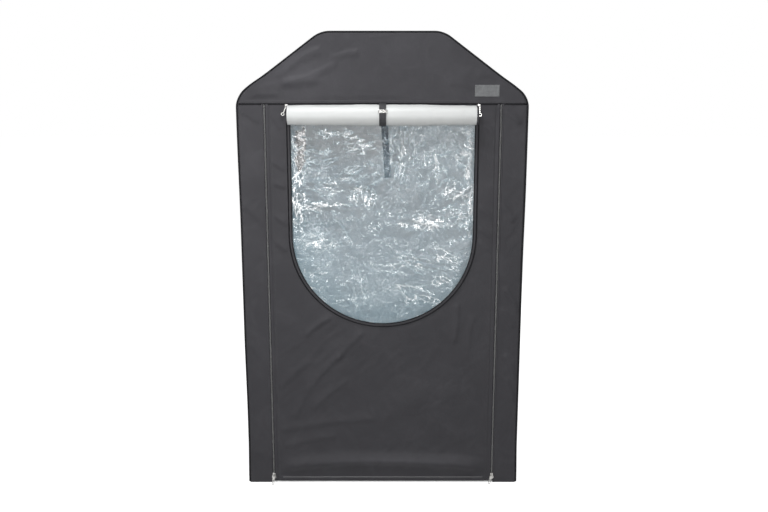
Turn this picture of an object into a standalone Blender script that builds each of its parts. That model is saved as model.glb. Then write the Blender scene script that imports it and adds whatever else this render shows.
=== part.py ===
"""Indoor grow tent with a sloped roof, modelled as its separate pieces.

A frame of steel tubes and moulded connectors stands inside a fabric skin. The front door hangs
from the seam under the gable and closes on two long zips. Its clear window has a cover that is
rolled up and strapped above it. Lamp bars hang inside on the eave tubes.
Units are metres, +Z is up and the front faces -Y. The origin is on the floor under the middle.
"""

import math

import bmesh
import bpy
from mathutils import Matrix, Vector

# Overall size
TENT_WIDTH = 1.200
TENT_DEPTH = 0.900
TENT_HEIGHT = 1.960
ROOF_RISE = 0.260  # from where the wall plane meets the roof plane up to the flat top
FLAT_TOP_WIDTH = 0.500
SHOULDER_BEND_RADIUS = 0.080
RIDGE_BEND_RADIUS = 0.110

# Gaps between pieces
SEAT_GAP = 0.0003
RUNNING_GAP = 0.0005
HINGE_GAP = 0.0006

# Fabric skin
FABRIC_THICKNESS = 0.002
PIPING_RADIUS = 0.0025
DOOR_TOP_DROP = 0.024  # below the corner of the wall and roof planes
DOOR_HEM_LIFT = 0.008
FOLD_HEIGHT = 0.007
FOLD_WIDTH = 0.036
SWELL_HEIGHT = 0.010
SWELL_WIDTH = 0.026
SWELL_ARCH = 0.035
FOLD_FADE = 0.060
WINDOW_FOLD_MARGIN = 0.050
WALL_SAG = 0.012
ROOF_SAG = 0.008
REAR_SAG_MARGIN = 0.045
PORT_MARGIN = 0.160

# Frame tubes and their connectors
TUBE_RADIUS = 0.0095
TUBE_WALL = 0.001
COLLAR_RADIUS = 0.0108
HUB_RADIUS = 0.0115
COLLAR_LENGTH = 0.028
ELBOW_LEG = 0.020
PLUG_LENGTH = 0.030
PLUG_CHAMFER = 0.0015

# Lamp bars
BAR_RADIUS = 0.008
BAR_WALL = 0.001
BAR_SPACING = 0.360
HOOK_WALL = 0.0025
HOOK_WIDTH = 0.012
HOOK_START_DEG = 70
HOOK_END_DEG = 250

# Door zips: the slack between the two halves of the chain takes the slider's wedge
FRONT_STRIP_WIDTH = 0.111  # from the tent's side to the middle of a door zip
ZIP_SLACK = 0.002
BEAD_WIDTH = 0.004
BEAD_PROUD = 0.0012
BEAD_STEP = 0.0008
SLIDER_LIFT = 0.0185
SLIDER_HEIGHT = 0.028
SLIDER_NOSE_WIDTH = 0.019
SLIDER_TAIL_WIDTH = 0.012
SLIDER_PLATE = 0.0018
SLIDER_WEDGE = 0.0012
SLIDER_WEDGE_HEIGHT = 0.010
SLIDER_REAR_WIDTH = 0.007
SLIDER_REAR_PLATE = 0.0015

# Crown of every slider, and the pull whose head bar is held under it
CROWN_WIRE_RADIUS = 0.0011
CROWN_ROOT = 0.0009
DOOR_CROWN_RISE = 0.008
COVER_CROWN_RISE = 0.002
PULL_THICKNESS = 0.0016
PULL_WALL = 0.0010
PULL_PLAY = 0.0010
PULL_SLOT_HALF_WIDTH = 0.0022
PULL_SLOT_LENGTH = 0.0052
DOOR_PULL_LENGTH = 0.042
DOOR_PULL_HALF_WIDTH = 0.0048
DOOR_PULL_LOOP_HALF_WIDTH = 0.0022
DOOR_PULL_LOOP_LENGTH = 0.020
PULL_FLOOR_CLEARANCE = 0.0015
COVER_PULL_LENGTH = 0.042
COVER_PULL_BAR_HALF_WIDTH = 0.0018
COVER_PULL_RING_RADIUS = 0.0075
COVER_PULL_RING_HOLE = 0.0042

# Window in the door: straight legs above a round lower end
WINDOW_SIDE_BORDER = 0.107
WINDOW_TOP_BORDER = 0.064
WINDOW_LEG_LENGTH = 0.489
FILM_THICKNESS = 0.0008
FILM_LAP = 0.012
BINDING_TAPE_WIDTH = 0.0110
BINDING_TAPE_THICKNESS = 0.0012
BINDING_RISE_WIDTH = 0.0020
BINDING_BEAD_WIDTH = 0.0045
BINDING_BEAD_LIFT = 0.0022
BINDING_BEAD_THICKNESS = 0.0022
BINDING_TOP_MARGIN = 0.004

# Cover slider
COVER_SLIDER_HEIGHT = 0.016
COVER_SLIDER_TOP_MARGIN = 0.003
COVER_SLIDER_INNER_LAP = 0.0045
COVER_SLIDER_PLATE = 0.0016
COVER_SLIDER_FLANGE = 0.0016
COVER_SLIDER_LIP = 0.0014
COVER_SLIDER_LIP_WIDTH = 0.0025

# Rolled window cover
COVER_SIDE_LAP = 0.0075
COVER_LOWER_LAP = 0.021
COVER_THICKNESS = 0.0012
COVER_SEAM_MARGIN = 0.004
ROLL_END_RADIUS = 0.0395
ROLL_MIDDLE_RADIUS = 0.0445
ROLL_CORE_RADIUS = 0.009
ROLL_DROP = 0.047  # from the top seam to the roll's middle
ROLL_LEAST_GAP = 0.0004

# Straps
STRAP_WIDTH = 0.028
STRAP_THICKNESS = 0.0012
STRAP_SEAM_MARGIN = 0.0025
RING_WIRE_RADIUS = 0.0014
RING_HALF_WIDTH = 0.0175
RING_HALF_HEIGHT = 0.0055
RING_CORNER_RADIUS = 0.003
RING_ANGLE_DEG = 17
INNER_STRAP_LENGTH = 0.270
INNER_STRAP_TOP_MARGIN = 0.016
INNER_STRAP_START = 0.004
INNER_STRAP_SLANT = 0.018
INNER_STRAP_SWING = 0.006

# Duct sleeve in the rear wall
SLEEVE_RADIUS = 0.079
SLEEVE_THICKNESS = 0.0015
SLEEVE_REACH = 0.130
SLEEVE_FLANGE_WIDTH = 0.020
SLEEVE_RISE = 0.012  # above the corner of the wall and roof planes
SLEEVE_OFFSET = 0.250
SLEEVE_WAIST = 0.006

# Vent in the rear wall
VENT_WIDTH = 0.300
VENT_HEIGHT = 0.180
VENT_BASE_HEIGHT = 0.130
VENT_LAP = 0.016
VENT_MESH_THICKNESS = 0.001
FLAP_LAP = 0.030
FLAP_CORNER_RADIUS = 0.020

# One overrun serves all cutters
CUT_OVERRUN = 0.020

# Facet counts
ROUND_SIDES = 12
WIRE_SIDES = 8
BEND_STEPS = 4
ROLL_STEPS_PER_TURN = 16
ARC_STEPS = 24

SIDES = (("left", -1), ("right", 1))
ENDS = (("front", -1), ("rear", 1))
DOOR_NODES = (
    "door_panel",
    "window_film",
    "window_binding",
    "window_cover_roll",
    "cover_strap",
    "strap_ring",
    "inner_strap",
)

# Places that follow from the sizes above
SHOULDER_HEIGHT = TENT_HEIGHT - ROOF_RISE
DOOR_TOP_HEIGHT = SHOULDER_HEIGHT - DOOR_TOP_DROP
ZIP_OFFSET = TENT_WIDTH / 2 - FRONT_STRIP_WIDTH
WINDOW_HALF_WIDTH = ZIP_OFFSET - WINDOW_SIDE_BORDER
WINDOW_TOP_HEIGHT = DOOR_TOP_HEIGHT - WINDOW_TOP_BORDER
WINDOW_ARC_HEIGHT = WINDOW_TOP_HEIGHT - WINDOW_LEG_LENGTH
WINDOW_LOW_HEIGHT = WINDOW_ARC_HEIGHT - WINDOW_HALF_WIDTH
COVER_HALF_WIDTH = WINDOW_HALF_WIDTH + COVER_SIDE_LAP
COVER_LENGTH = DOOR_TOP_HEIGHT - WINDOW_LOW_HEIGHT + COVER_LOWER_LAP
ROLL_CENTRE_HEIGHT = DOOR_TOP_HEIGHT - ROLL_DROP
SLEEVE_HEIGHT = SHOULDER_HEIGHT + SLEEVE_RISE
FRONT = -TENT_DEPTH / 2
REAR = TENT_DEPTH / 2
FRAME_INSET = FABRIC_THICKNESS + SEAT_GAP + HUB_RADIUS
FRAME_X = TENT_WIDTH / 2 - FRAME_INSET
FRAME_Y = TENT_DEPTH / 2 - FRAME_INSET
FRAME_BASE = FRAME_INSET
EDGE_INSET = 2 * PIPING_RADIUS + SEAT_GAP
PLUG_RADIUS = TUBE_RADIUS - TUBE_WALL - SEAT_GAP
INNER_FRONT = FRONT + FABRIC_THICKNESS
INNER_REAR = REAR - FABRIC_THICKNESS
BINDING_WIDTH = BINDING_TAPE_WIDTH + BINDING_RISE_WIDTH + BINDING_BEAD_WIDTH
FRAME_DEPTH = FRAME_INSET + HUB_RADIUS + SEAT_GAP
PIN_REACH = PULL_THICKNESS / math.sqrt(2)
PIVOT_STANDOFF = PIN_REACH + PULL_PLAY
CROWN_RADIUS = PIN_REACH + RUNNING_GAP + CROWN_WIRE_RADIUS

# Folds of each hanging panel, as (x, z) to (x, z) and height, all in shares of the panel
DOOR_FOLD_SHARES = (
    (-0.82, 0.150, -0.40, 0.290, 0.55),
    (-0.50, 0.215, -0.12, 0.400, 0.45),
    (-0.70, 0.330, -0.38, 0.440, 0.50),
    (0.50, 0.330, 0.86, 0.480, 0.45),
    (0.10, 0.180, 0.62, 0.150, 0.30),
    (-0.90, 0.620, -0.83, 0.800, 0.35),
    (0.84, 0.560, 0.92, 0.740, 0.35),
)
GABLE_FOLD_SHARES = (
    (-0.86, 0.100, -0.52, 0.380, 0.75),
    (-0.62, 0.380, -0.20, 0.500, 0.70),
    (-0.48, 0.680, 0.02, 0.640, 0.60),
    (0.10, 0.520, 0.50, 0.620, 0.35),
    (0.62, 0.300, 0.80, 0.420, 0.45),
)
STRIP_FOLD_SHARES = (
    (0.15, 0.860, 0.85, 0.930, 0.45),
    (0.10, 0.560, 0.90, 0.660, 0.40),
    (0.10, 0.330, 0.90, 0.470, 0.45),
    (0.15, 0.120, 0.85, 0.200, 0.35),
)
WALL_FOLD_SHARES = (
    (-0.80, 0.720, 0.10, 0.900, 0.45),
    (-0.40, 0.300, 0.70, 0.520, 0.50),
    (0.20, 0.080, 0.85, 0.180, 0.40),
)
SWELL_HEIGHT_SHARE = 0.062
SWELL_REACH_SHARE = 0.80
REAR_MARGIN_SHARE = 0.07
ROLL_STATION_SHARES = (-1.0, -0.6, 0.0, 0.6, 1.0)
RING_TURN_SHARE = 0.3  # keeps the facets of crossing arms out of line
PIVOT_HEIGHT_SHARE = 0.60
SLEEVE_WAIST_SHARE = 0.62


def clear_scene():
    """Remove whatever the file holds."""
    for item in list(bpy.data.objects):
        bpy.data.objects.remove(item)


def material(name, colour, roughness, metallic=0.0):
    """Principled material of one plain colour."""
    made = bpy.data.materials.new(name)
    made.use_nodes = True
    shader = made.node_tree.nodes["Principled BSDF"]
    shader.inputs["Base Color"].default_value = (*colour, 1.0)
    shader.inputs["Roughness"].default_value = roughness
    shader.inputs["Metallic"].default_value = metallic
    return made


def new_object(name, mesh, finish):
    """Link a mesh to the scene under a node's name."""
    mesh.materials.clear()
    mesh.materials.append(finish)
    made = bpy.data.objects.new(name, mesh)
    bpy.context.scene.collection.objects.link(made)
    return made


def finish_mesh(bm, name):
    """Turn a closed bmesh into a mesh with its faces pointing out and its round parts smooth."""
    bmesh.ops.remove_doubles(bm, verts=bm.verts, dist=SEAT_GAP / ROUND_SIDES)
    bmesh.ops.recalc_face_normals(bm, faces=bm.faces)
    mesh = bpy.data.meshes.new(name)
    bm.to_mesh(mesh)
    bm.free()
    mesh.shade_smooth()
    mesh.set_sharp_from_angle(angle=math.radians(35))
    return mesh


def set_origin(name, point):
    """Put a moving piece's origin on its joint without moving its shape."""
    item = bpy.data.objects[name]
    item.data.transform(Matrix.Translation(-point))
    item.location = point


def combined(name, target, others, operation="UNION"):
    """Mesh of the first piece joined with the others, or cut by them."""
    base = bpy.data.objects.new(name, target)
    bpy.context.scene.collection.objects.link(base)
    helpers = []
    for number, other in enumerate(others):
        helper = bpy.data.objects.new(f"{name}_helper_{number}", other)
        bpy.context.scene.collection.objects.link(helper)
        step = base.modifiers.new(f"step_{number}", "BOOLEAN")
        step.operation = operation
        step.solver = "EXACT"
        step.object = helper
        helpers.append(helper)
    view = bpy.context.evaluated_depsgraph_get()
    mesh = bpy.data.meshes.new_from_object(base.evaluated_get(view))
    for item in [base, *helpers]:
        bpy.data.objects.remove(item)
    mesh.shade_smooth()
    mesh.set_sharp_from_angle(angle=math.radians(35))
    return mesh


def spaced(start, end, count):
    """Evenly spaced values from start to end, both included."""
    return [start + (end - start) * number / count for number in range(count + 1)]


def edged(start, end, margin, count):
    """Evenly spaced values with one more close to each end."""
    return [start, *spaced(start + margin, end - margin, count), end]


def smooth_step(value):
    """Rise smoothly from 0 to 1."""
    held = min(max(value, 0.0), 1.0)
    return held * held * (3 - 2 * held)


# Outline of the tent, seen from the front


def slope_angle():
    """Angle of the roof slope's outward normal from +X, in radians."""
    run = (TENT_WIDTH - FLAT_TOP_WIDTH) / 2
    rise = TENT_HEIGHT - SHOULDER_HEIGHT
    return math.atan2(run, rise)


def bend_centre(corner_x, corner_height, first_angle, last_angle, radius):
    """Centre of the arc that rounds a corner between two outward normals."""
    middle = (first_angle + last_angle) / 2
    reach = radius / math.cos((last_angle - first_angle) / 2)
    return corner_x - reach * math.cos(middle), corner_height - reach * math.sin(middle)


SLOPE = slope_angle()
SHOULDER = {
    "centre": bend_centre(TENT_WIDTH / 2, SHOULDER_HEIGHT, 0.0, SLOPE, SHOULDER_BEND_RADIUS),
    "radius": SHOULDER_BEND_RADIUS,
    "angles": (0.0, SLOPE),
}
RIDGE = {
    "centre": bend_centre(FLAT_TOP_WIDTH / 2, TENT_HEIGHT, SLOPE, math.pi / 2, RIDGE_BEND_RADIUS),
    "radius": RIDGE_BEND_RADIUS,
    "angles": (SLOPE, math.pi / 2),
}


def bend_point(bend, angle, inset):
    """Point (x, z) on the right-hand bend, inset from the outer skin."""
    reach = bend["radius"] - inset
    return bend["centre"][0] + reach * math.cos(angle), bend["centre"][1] + reach * math.sin(angle)


def bend_points(bend, inset, steps=BEND_STEPS):
    """Points along one right-hand bend, from its lower end up."""
    first, last = bend["angles"]
    return [bend_point(bend, angle, inset) for angle in spaced(first, last, steps)]


def half_width(height, inset):
    """Half the tent's width at a height, inset from the outer skin."""
    ridge_low = bend_point(RIDGE, SLOPE, inset)
    shoulder_high = bend_point(SHOULDER, SLOPE, inset)
    if height < SHOULDER["centre"][1]:
        return TENT_WIDTH / 2 - inset
    if shoulder_high[1] < height < ridge_low[1]:
        share = (height - shoulder_high[1]) / (ridge_low[1] - shoulder_high[1])
        return shoulder_high[0] + (ridge_low[0] - shoulder_high[0]) * share
    bend = RIDGE if height > shoulder_high[1] else SHOULDER
    reach = bend["radius"] - inset
    rise = height - bend["centre"][1]
    return bend["centre"][0] + math.sqrt(max(reach * reach - rise * rise, 0.0))


def outline_distance(x, z):
    """Distance of a point from the nearest straight side of the tent's outline."""
    beyond = TENT_WIDTH / 2 - abs(x)
    slope = beyond * math.cos(SLOPE) + (SHOULDER_HEIGHT - z) * math.sin(SLOPE)
    return min(beyond, slope, z, TENT_HEIGHT - z)


def outline_heights(bottom, inset, wall_rows, slope_rows):
    """Heights of a full-width panel's rows: up the wall, round each bend and along the slope."""
    shoulder = [point[1] for point in bend_points(SHOULDER, inset)]
    ridge = [point[1] for point in bend_points(RIDGE, inset)]
    wall = spaced(bottom, max(bottom, shoulder[0]), wall_rows)[:-1] if wall_rows else []
    shoulder = [height for height in shoulder if height > bottom + FABRIC_THICKNESS]
    if not wall_rows:
        wall = [bottom]
    slope = spaced(shoulder[-1], ridge[0], slope_rows)[1:-1]
    return wall + shoulder + slope + ridge


# Rings, lofts and swept tubes


def ring(centre, direction, radius, normal=None, sides=ROUND_SIDES):
    """Regular ring of points across a direction, turned alike for all that share a normal."""
    if normal is None:
        normal = Vector((0, 0, 1)) if abs(direction.normalized().y) > 0.5 else Vector((0, 1, 0))
    one = direction.cross(normal).normalized()
    points = []
    for number in range(sides):
        angle = 2 * math.pi * (number + RING_TURN_SHARE) / sides
        points.append(centre + radius * (math.cos(angle) * one + math.sin(angle) * normal))
    return points


def loft(rings, closed=False):
    """Closed skin over a row of rings, capped at its ends or joined into a loop."""
    bm = bmesh.new()
    rows = [[bm.verts.new(point) for point in points] for points in rings]
    pairs = list(zip(rows, rows[1:]))
    if closed:
        pairs.append((rows[-1], rows[0]))
    for lower, upper in pairs:
        count = len(lower)
        for number in range(count):
            after = (number + 1) % count
            bm.faces.new((lower[number], lower[after], upper[after], upper[number]))
    if not closed:
        bm.faces.new(rows[0])
        bm.faces.new(rows[-1])
    return bm


def path_directions(points, closed=False):
    """Direction of a path at each of its points."""
    count = len(points)
    found = []
    for number in range(count):
        before = points[number - 1] if closed or number > 0 else points[0]
        after = points[(number + 1) % count] if closed or number < count - 1 else points[-1]
        found.append((after - before).normalized())
    return found


def swept_wire(points, radius, normal, closed=False):
    """Round wire along a path that lies in one plane."""
    directions = path_directions(points, closed)
    rings = [ring(p, d, radius, normal, WIRE_SIDES) for p, d in zip(points, directions)]
    return loft(rings, closed)


def prism(outline, start, end, place):
    """Solid between two copies of a flat outline; place(a, b, depth) gives a point."""
    bm = bmesh.new()
    low = [bm.verts.new(place(a, b, start)) for a, b in outline]
    high = [bm.verts.new(place(a, b, end)) for a, b in outline]
    bm.faces.new(low)
    bm.faces.new(high)
    for number in range(len(outline)):
        after = (number + 1) % len(outline)
        bm.faces.new((low[number], low[after], high[after], high[number]))
    return bm


def on_front(x, z, y):
    """Outline in the front plane, with its depth along Y."""
    return Vector((x, y, z))


def on_side(y, z, x):
    """Outline seen from the side, with its depth along X."""
    return Vector((x, y, z))


def round_box(half_x, half_z, radius, steps=3):
    """Rectangle with round corners about the origin."""
    points = []
    for number, (sign_x, sign_z) in enumerate(((1, 1), (-1, 1), (-1, -1), (1, -1))):
        for angle in spaced(number * math.pi / 2, (number + 1) * math.pi / 2, steps):
            x = sign_x * (half_x - radius) + radius * math.cos(angle)
            z = sign_z * (half_z - radius) + radius * math.sin(angle)
            points.append((x, z))
    return points


def shifted(outline, x, z):
    """Outline moved in its plane."""
    return [(a + x, b + z) for a, b in outline]


# Frame


def hollow_tube(start, end, radius, wall):
    """Mesh of a tube open at both ends."""
    along = end - start
    rings = [
        ring(start, along, radius),
        ring(end, along, radius),
        ring(end, along, radius - wall),
        ring(start, along, radius - wall),
    ]
    return finish_mesh(loft(rings, closed=True), "tube")


def tube(name, start, end, finish):
    """Steel frame tube between two points."""
    return new_object(name, hollow_tube(start, end, TUBE_RADIUS, TUBE_WALL), finish)


def plug_rings(root, direction):
    """Rings of a plug that goes into a tube, from its root to its chamfered tip."""
    tip = root + direction * PLUG_LENGTH
    return [
        ring(root, direction, PLUG_RADIUS),
        ring(tip - direction * PLUG_CHAMFER, direction, PLUG_RADIUS),
        ring(tip, direction, PLUG_RADIUS - PLUG_CHAMFER),
    ]


def arm(centre, direction, collar_length):
    """Straight arm of a connector: a collar as far as the tube's end, then the plug."""
    root = centre + direction * collar_length
    rings = [ring(centre, direction, COLLAR_RADIUS), ring(root, direction, COLLAR_RADIUS)]
    return finish_mesh(loft(rings + plug_rings(root, direction)), "arm")


def hub(centre):
    """Ball at the heart of a base corner, flat-bottomed where it stands on the floor sheet."""
    bm = bmesh.new()
    bmesh.ops.create_uvsphere(bm, u_segments=ROUND_SIDES, v_segments=ROUND_SIDES // 2, radius=HUB_RADIUS)
    turn = Matrix.Rotation(math.pi / ROUND_SIDES, 3, "Z")
    bmesh.ops.rotate(bm, verts=bm.verts, cent=(0, 0, 0), matrix=turn)
    bmesh.ops.translate(bm, verts=bm.verts, vec=centre)
    return finish_mesh(bm, "hub")


def base_corner(name, side, end, finish):
    """Three-way connector at a corner of the base."""
    centre = Vector((side * FRAME_X, end * FRAME_Y, FRAME_BASE))
    directions = (Vector((-side, 0, 0)), Vector((0, -end, 0)), Vector((0, 0, 1)))
    arms = [arm(centre, direction, COLLAR_LENGTH) for direction in directions]
    return new_object(name, combined(name, hub(centre), arms), finish)


def bend_frame(bend, side, end):
    """Centre line of an elbow: its points, and the directions out of both ends."""
    points = [Vector((side * x, end * FRAME_Y, z)) for x, z in bend_points(bend, FRAME_INSET)]
    low, high = bend["angles"]
    down = Vector((side * math.sin(low), 0, -math.cos(low)))
    up = Vector((-side * math.sin(high), 0, math.cos(high)))
    return points, down, up


def bend_middle(bend):
    """Point (x, z) on the frame's centre line at the middle of a bend."""
    return bend_point(bend, sum(bend["angles"]) / 2, FRAME_INSET)


def elbow(name, bend, side, end, finish, inward=False):
    """Bent connector with a plug at each end and a branch along the depth of the tent."""
    points, down, up = bend_frame(bend, side, end)
    low_root = points[0] + down * ELBOW_LEG
    high_root = points[-1] + up * ELBOW_LEG
    rings = [
        ring(low_root + down * PLUG_LENGTH, -down, PLUG_RADIUS - PLUG_CHAMFER),
        ring(low_root + down * (PLUG_LENGTH - PLUG_CHAMFER), -down, PLUG_RADIUS),
        ring(low_root, -down, PLUG_RADIUS),
        ring(low_root, -down, HUB_RADIUS),
    ]
    directions = path_directions(points)
    directions[0] = -down
    directions[-1] = up
    for point, direction in zip(points, directions):
        rings.append(ring(point, direction, HUB_RADIUS))
    rings.append(ring(high_root, up, HUB_RADIUS))
    rings.extend(plug_rings(high_root, up))
    body = finish_mesh(loft(rings), "elbow")
    x, z = bend_middle(bend)
    middle = Vector((side * x, end * FRAME_Y, z))
    branches = [arm(middle, Vector((0, -end, 0)), COLLAR_LENGTH)]
    if inward:
        branches.append(arm(middle, Vector((-side, 0, 0)), COLLAR_LENGTH))
    return new_object(name, combined(name, body, branches), finish)


def build_frame(steel, plastic):
    """Tubes and connectors of the whole frame."""
    reach = COLLAR_LENGTH + SEAT_GAP
    leg = ELBOW_LEG + SEAT_GAP
    eave_x, eave_z = bend_middle(SHOULDER)
    ridge_x, ridge_z = bend_middle(RIDGE)
    for end_name, end in ENDS:
        y = end * FRAME_Y
        base_end = FRAME_X - reach
        start = Vector((-base_end, y, FRAME_BASE))
        tube(f"base_tube_{end_name}", start, Vector((base_end, y, FRAME_BASE)), steel)
        top = bend_frame(RIDGE, 1, end)[0][-1]
        top_end = top.x - leg
        tube(f"top_tube_{end_name}", Vector((-top_end, y, top.z)), Vector((top_end, y, top.z)), steel)
        for side_name, side in SIDES:
            place = f"{end_name}_{side_name}"
            base_corner(f"base_corner_{place}", side, end, plastic)
            elbow(f"shoulder_elbow_{place}", SHOULDER, side, end, plastic, inward=end < 0)
            elbow(f"roof_elbow_{place}", RIDGE, side, end, plastic)
            shoulder, down, up = bend_frame(SHOULDER, side, end)
            ridge = bend_frame(RIDGE, side, end)[0]
            foot = Vector((side * FRAME_X, y, FRAME_BASE + reach))
            tube(f"upright_{place}", foot, shoulder[0] + down * leg, steel)
            tube(f"rafter_{place}", shoulder[-1] + up * leg, ridge[0] - up * leg, steel)
    side_end = FRAME_Y - reach
    for side_name, side in SIDES:
        lines = (
            ("base_tube", FRAME_X, FRAME_BASE),
            ("eave_tube", eave_x, eave_z),
            ("ridge_tube", ridge_x, ridge_z),
        )
        for name, x, z in lines:
            start = Vector((side * x, -side_end, z))
            tube(f"{name}_{side_name}", start, Vector((side * x, side_end, z)), steel)
    header_end = eave_x - reach
    start = Vector((-header_end, -FRAME_Y, eave_z))
    tube("header_tube", start, Vector((header_end, -FRAME_Y, eave_z)), steel)


def lamp_bar(name, y, finish):
    """Bar across the tent with a hook at each end over an eave tube."""
    eave_x, eave_z = bend_middle(SHOULDER)
    inner = TUBE_RADIUS + RUNNING_GAP
    outer = inner + HOOK_WALL
    bar_end = eave_x - inner - HOOK_WALL / 2
    ends = (Vector((-bar_end, y, eave_z)), Vector((bar_end, y, eave_z)))
    bar = hollow_tube(ends[0], ends[1], BAR_RADIUS, BAR_WALL)
    hooks = []
    angles = [math.radians(angle) for angle in spaced(HOOK_START_DEG, HOOK_END_DEG, ROUND_SIDES)]
    for side in (-1, 1):
        outline = [(outer * math.cos(angle), outer * math.sin(angle)) for angle in angles]
        outline += [(inner * math.cos(angle), inner * math.sin(angle)) for angle in reversed(angles)]
        placed = [(side * (eave_x + a), eave_z + b) for a, b in outline]
        hook = prism(placed, y - HOOK_WIDTH / 2, y + HOOK_WIDTH / 2, on_front)
        hooks.append(finish_mesh(hook, "hook"))
    return new_object(name, combined(name, bar, hooks), finish)


# Fabric panels


def sheet(name, rows, columns, surface, finish, cutters=()):
    """Closed sheet over a grid; surface(row, column) gives its outer and inner point."""
    bm = bmesh.new()
    outer = []
    inner = []
    for row in rows:
        pairs = [surface(row, column) for column in columns]
        outer.append([bm.verts.new(pair[0]) for pair in pairs])
        inner.append([bm.verts.new(pair[1]) for pair in pairs])
    last_row = len(rows) - 1
    last_column = len(columns) - 1
    for i in range(last_row):
        for j in range(last_column):
            bm.faces.new((outer[i][j], outer[i][j + 1], outer[i + 1][j + 1], outer[i + 1][j]))
            bm.faces.new((inner[i][j], inner[i + 1][j], inner[i + 1][j + 1], inner[i][j + 1]))
        for j in (0, last_column):
            bm.faces.new((outer[i][j], outer[i + 1][j], inner[i + 1][j], inner[i][j]))
    for j in range(last_column):
        for i in (0, last_row):
            bm.faces.new((outer[i][j], outer[i][j + 1], inner[i][j + 1], inner[i][j]))
    mesh = finish_mesh(bm, name)
    if cutters:
        mesh = combined(name, mesh, cutters, "DIFFERENCE")
    return new_object(name, mesh, finish)


def fold_shift(x, z, half, low, high, folds, width=FOLD_WIDTH):
    """Outward shift of a panel at a point, from its folds given in shares of the panel."""
    total = 0.0
    for x0, z0, x1, z1, share in folds:
        start = Vector((x0 * half, low + z0 * (high - low)))
        along = Vector((x1 * half, low + z1 * (high - low))) - start
        offset = Vector((x, z)) - start
        place = min(max(offset.dot(along) / along.length_squared, 0.0), 1.0)
        away = (offset - along * place).length / width
        total += share * math.exp(-away * away)
    return FOLD_HEIGHT * total


def door_window_distance(x, z):
    """Distance outside the window's binding, negative over the window."""
    reach = abs(x) if z > WINDOW_ARC_HEIGHT else math.hypot(x, z - WINDOW_ARC_HEIGHT)
    return reach - WINDOW_HALF_WIDTH - BINDING_WIDTH


def fade(*distances):
    """Share of a fold that is left near the closest of some edges."""
    return smooth_step(min(distances) / FOLD_FADE)


def front_pair(x, z, shift, proud=0.0):
    """Outer and inner point of the front skin, shifted outward by a fold."""
    outer = Vector((x, FRONT - shift - proud, z))
    return outer, Vector((x, INNER_FRONT - shift, z))


def bead_columns(edge, inward):
    """Columns of a zip edge: the raised bead and the step down to the cloth."""
    return [edge, edge + inward * BEAD_WIDTH, edge + inward * (BEAD_WIDTH + BEAD_STEP)]


def window_outline(growth, top):
    """U outline of the window, grown outwards, up to a top height."""
    reach = WINDOW_HALF_WIDTH + growth
    points = [(-reach, top)]
    for angle in spaced(math.pi, 2 * math.pi, ARC_STEPS):
        points.append((reach * math.cos(angle), WINDOW_ARC_HEIGHT + reach * math.sin(angle)))
    points.append((reach, top))
    return points


def door_panel(finish):
    """Door with a zip bead on both edges, the window cut out and the folds that it hangs in."""
    edge = ZIP_OFFSET - ZIP_SLACK / 2
    bead = edge - BEAD_WIDTH
    columns = bead_columns(-edge, 1)
    columns += spaced(columns[-1], -columns[-1], 20)[1:-1]
    columns += [-column for column in reversed(bead_columns(-edge, 1))]
    fold_top = (WINDOW_LOW_HEIGHT + WINDOW_ARC_HEIGHT) / 2
    rows = [DOOR_HEM_LIFT, *spaced(DOOR_HEM_LIFT + SWELL_WIDTH / 2, fold_top, 18)]
    rows += spaced(fold_top, DOOR_TOP_HEIGHT, 4)[1:]

    def surface(z, x):
        shift = fold_shift(x, z, edge, DOOR_HEM_LIFT, DOOR_TOP_HEIGHT, DOOR_FOLD_SHARES)
        window = door_window_distance(x, z) - WINDOW_FOLD_MARGIN
        kept = fade(bead - abs(x), z - DOOR_HEM_LIFT, DOOR_TOP_HEIGHT - z, window)
        swell_place = SWELL_HEIGHT_SHARE * DOOR_TOP_HEIGHT - SWELL_ARCH * (x / edge) ** 2
        rise = (z - swell_place) / SWELL_WIDTH
        swell = SWELL_HEIGHT * math.exp(-rise * rise)
        held = smooth_step((bead - abs(x)) / (edge * (1 - SWELL_REACH_SHARE)))
        hem = smooth_step((z - DOOR_HEM_LIFT) / SWELL_WIDTH)
        proud = BEAD_PROUD if abs(x) > bead - FABRIC_THICKNESS / 10 else 0.0
        return front_pair(x, z, shift * kept + swell * held * hem, proud)

    outline = window_outline(0.0, WINDOW_TOP_HEIGHT)
    opening = prism(outline, FRONT - CUT_OVERRUN, INNER_FRONT + CUT_OVERRUN, on_front)
    return sheet("door_panel", rows, columns, surface, finish, [finish_mesh(opening, "opening")])


def front_strip(name, side, finish):
    """Strip beside the door, from its zip edge to the piping."""
    inner_edge = ZIP_OFFSET + ZIP_SLACK / 2
    bead = inner_edge + BEAD_WIDTH
    start = bead + BEAD_STEP
    width = TENT_WIDTH / 2 - EDGE_INSET - start
    rows = spaced(0.0, DOOR_TOP_HEIGHT, 14)
    shares = [-2, -1, *spaced(0.0, 1.0, 4)]

    def surface(z, share):
        outer_edge = half_width(z, EDGE_INSET)
        if share < 0:
            x = inner_edge if share == -2 else bead
            return front_pair(side * x, z, 0.0, BEAD_PROUD)
        x = start + share * (outer_edge - start)
        shift = fold_shift(share * width, z, width, 0.0, DOOR_TOP_HEIGHT, STRIP_FOLD_SHARES)
        kept = fade(z, DOOR_TOP_HEIGHT - z) * math.sin(math.pi * share)
        return front_pair(side * x, z, shift * kept)

    return sheet(name, rows, shares, surface, finish)


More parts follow.
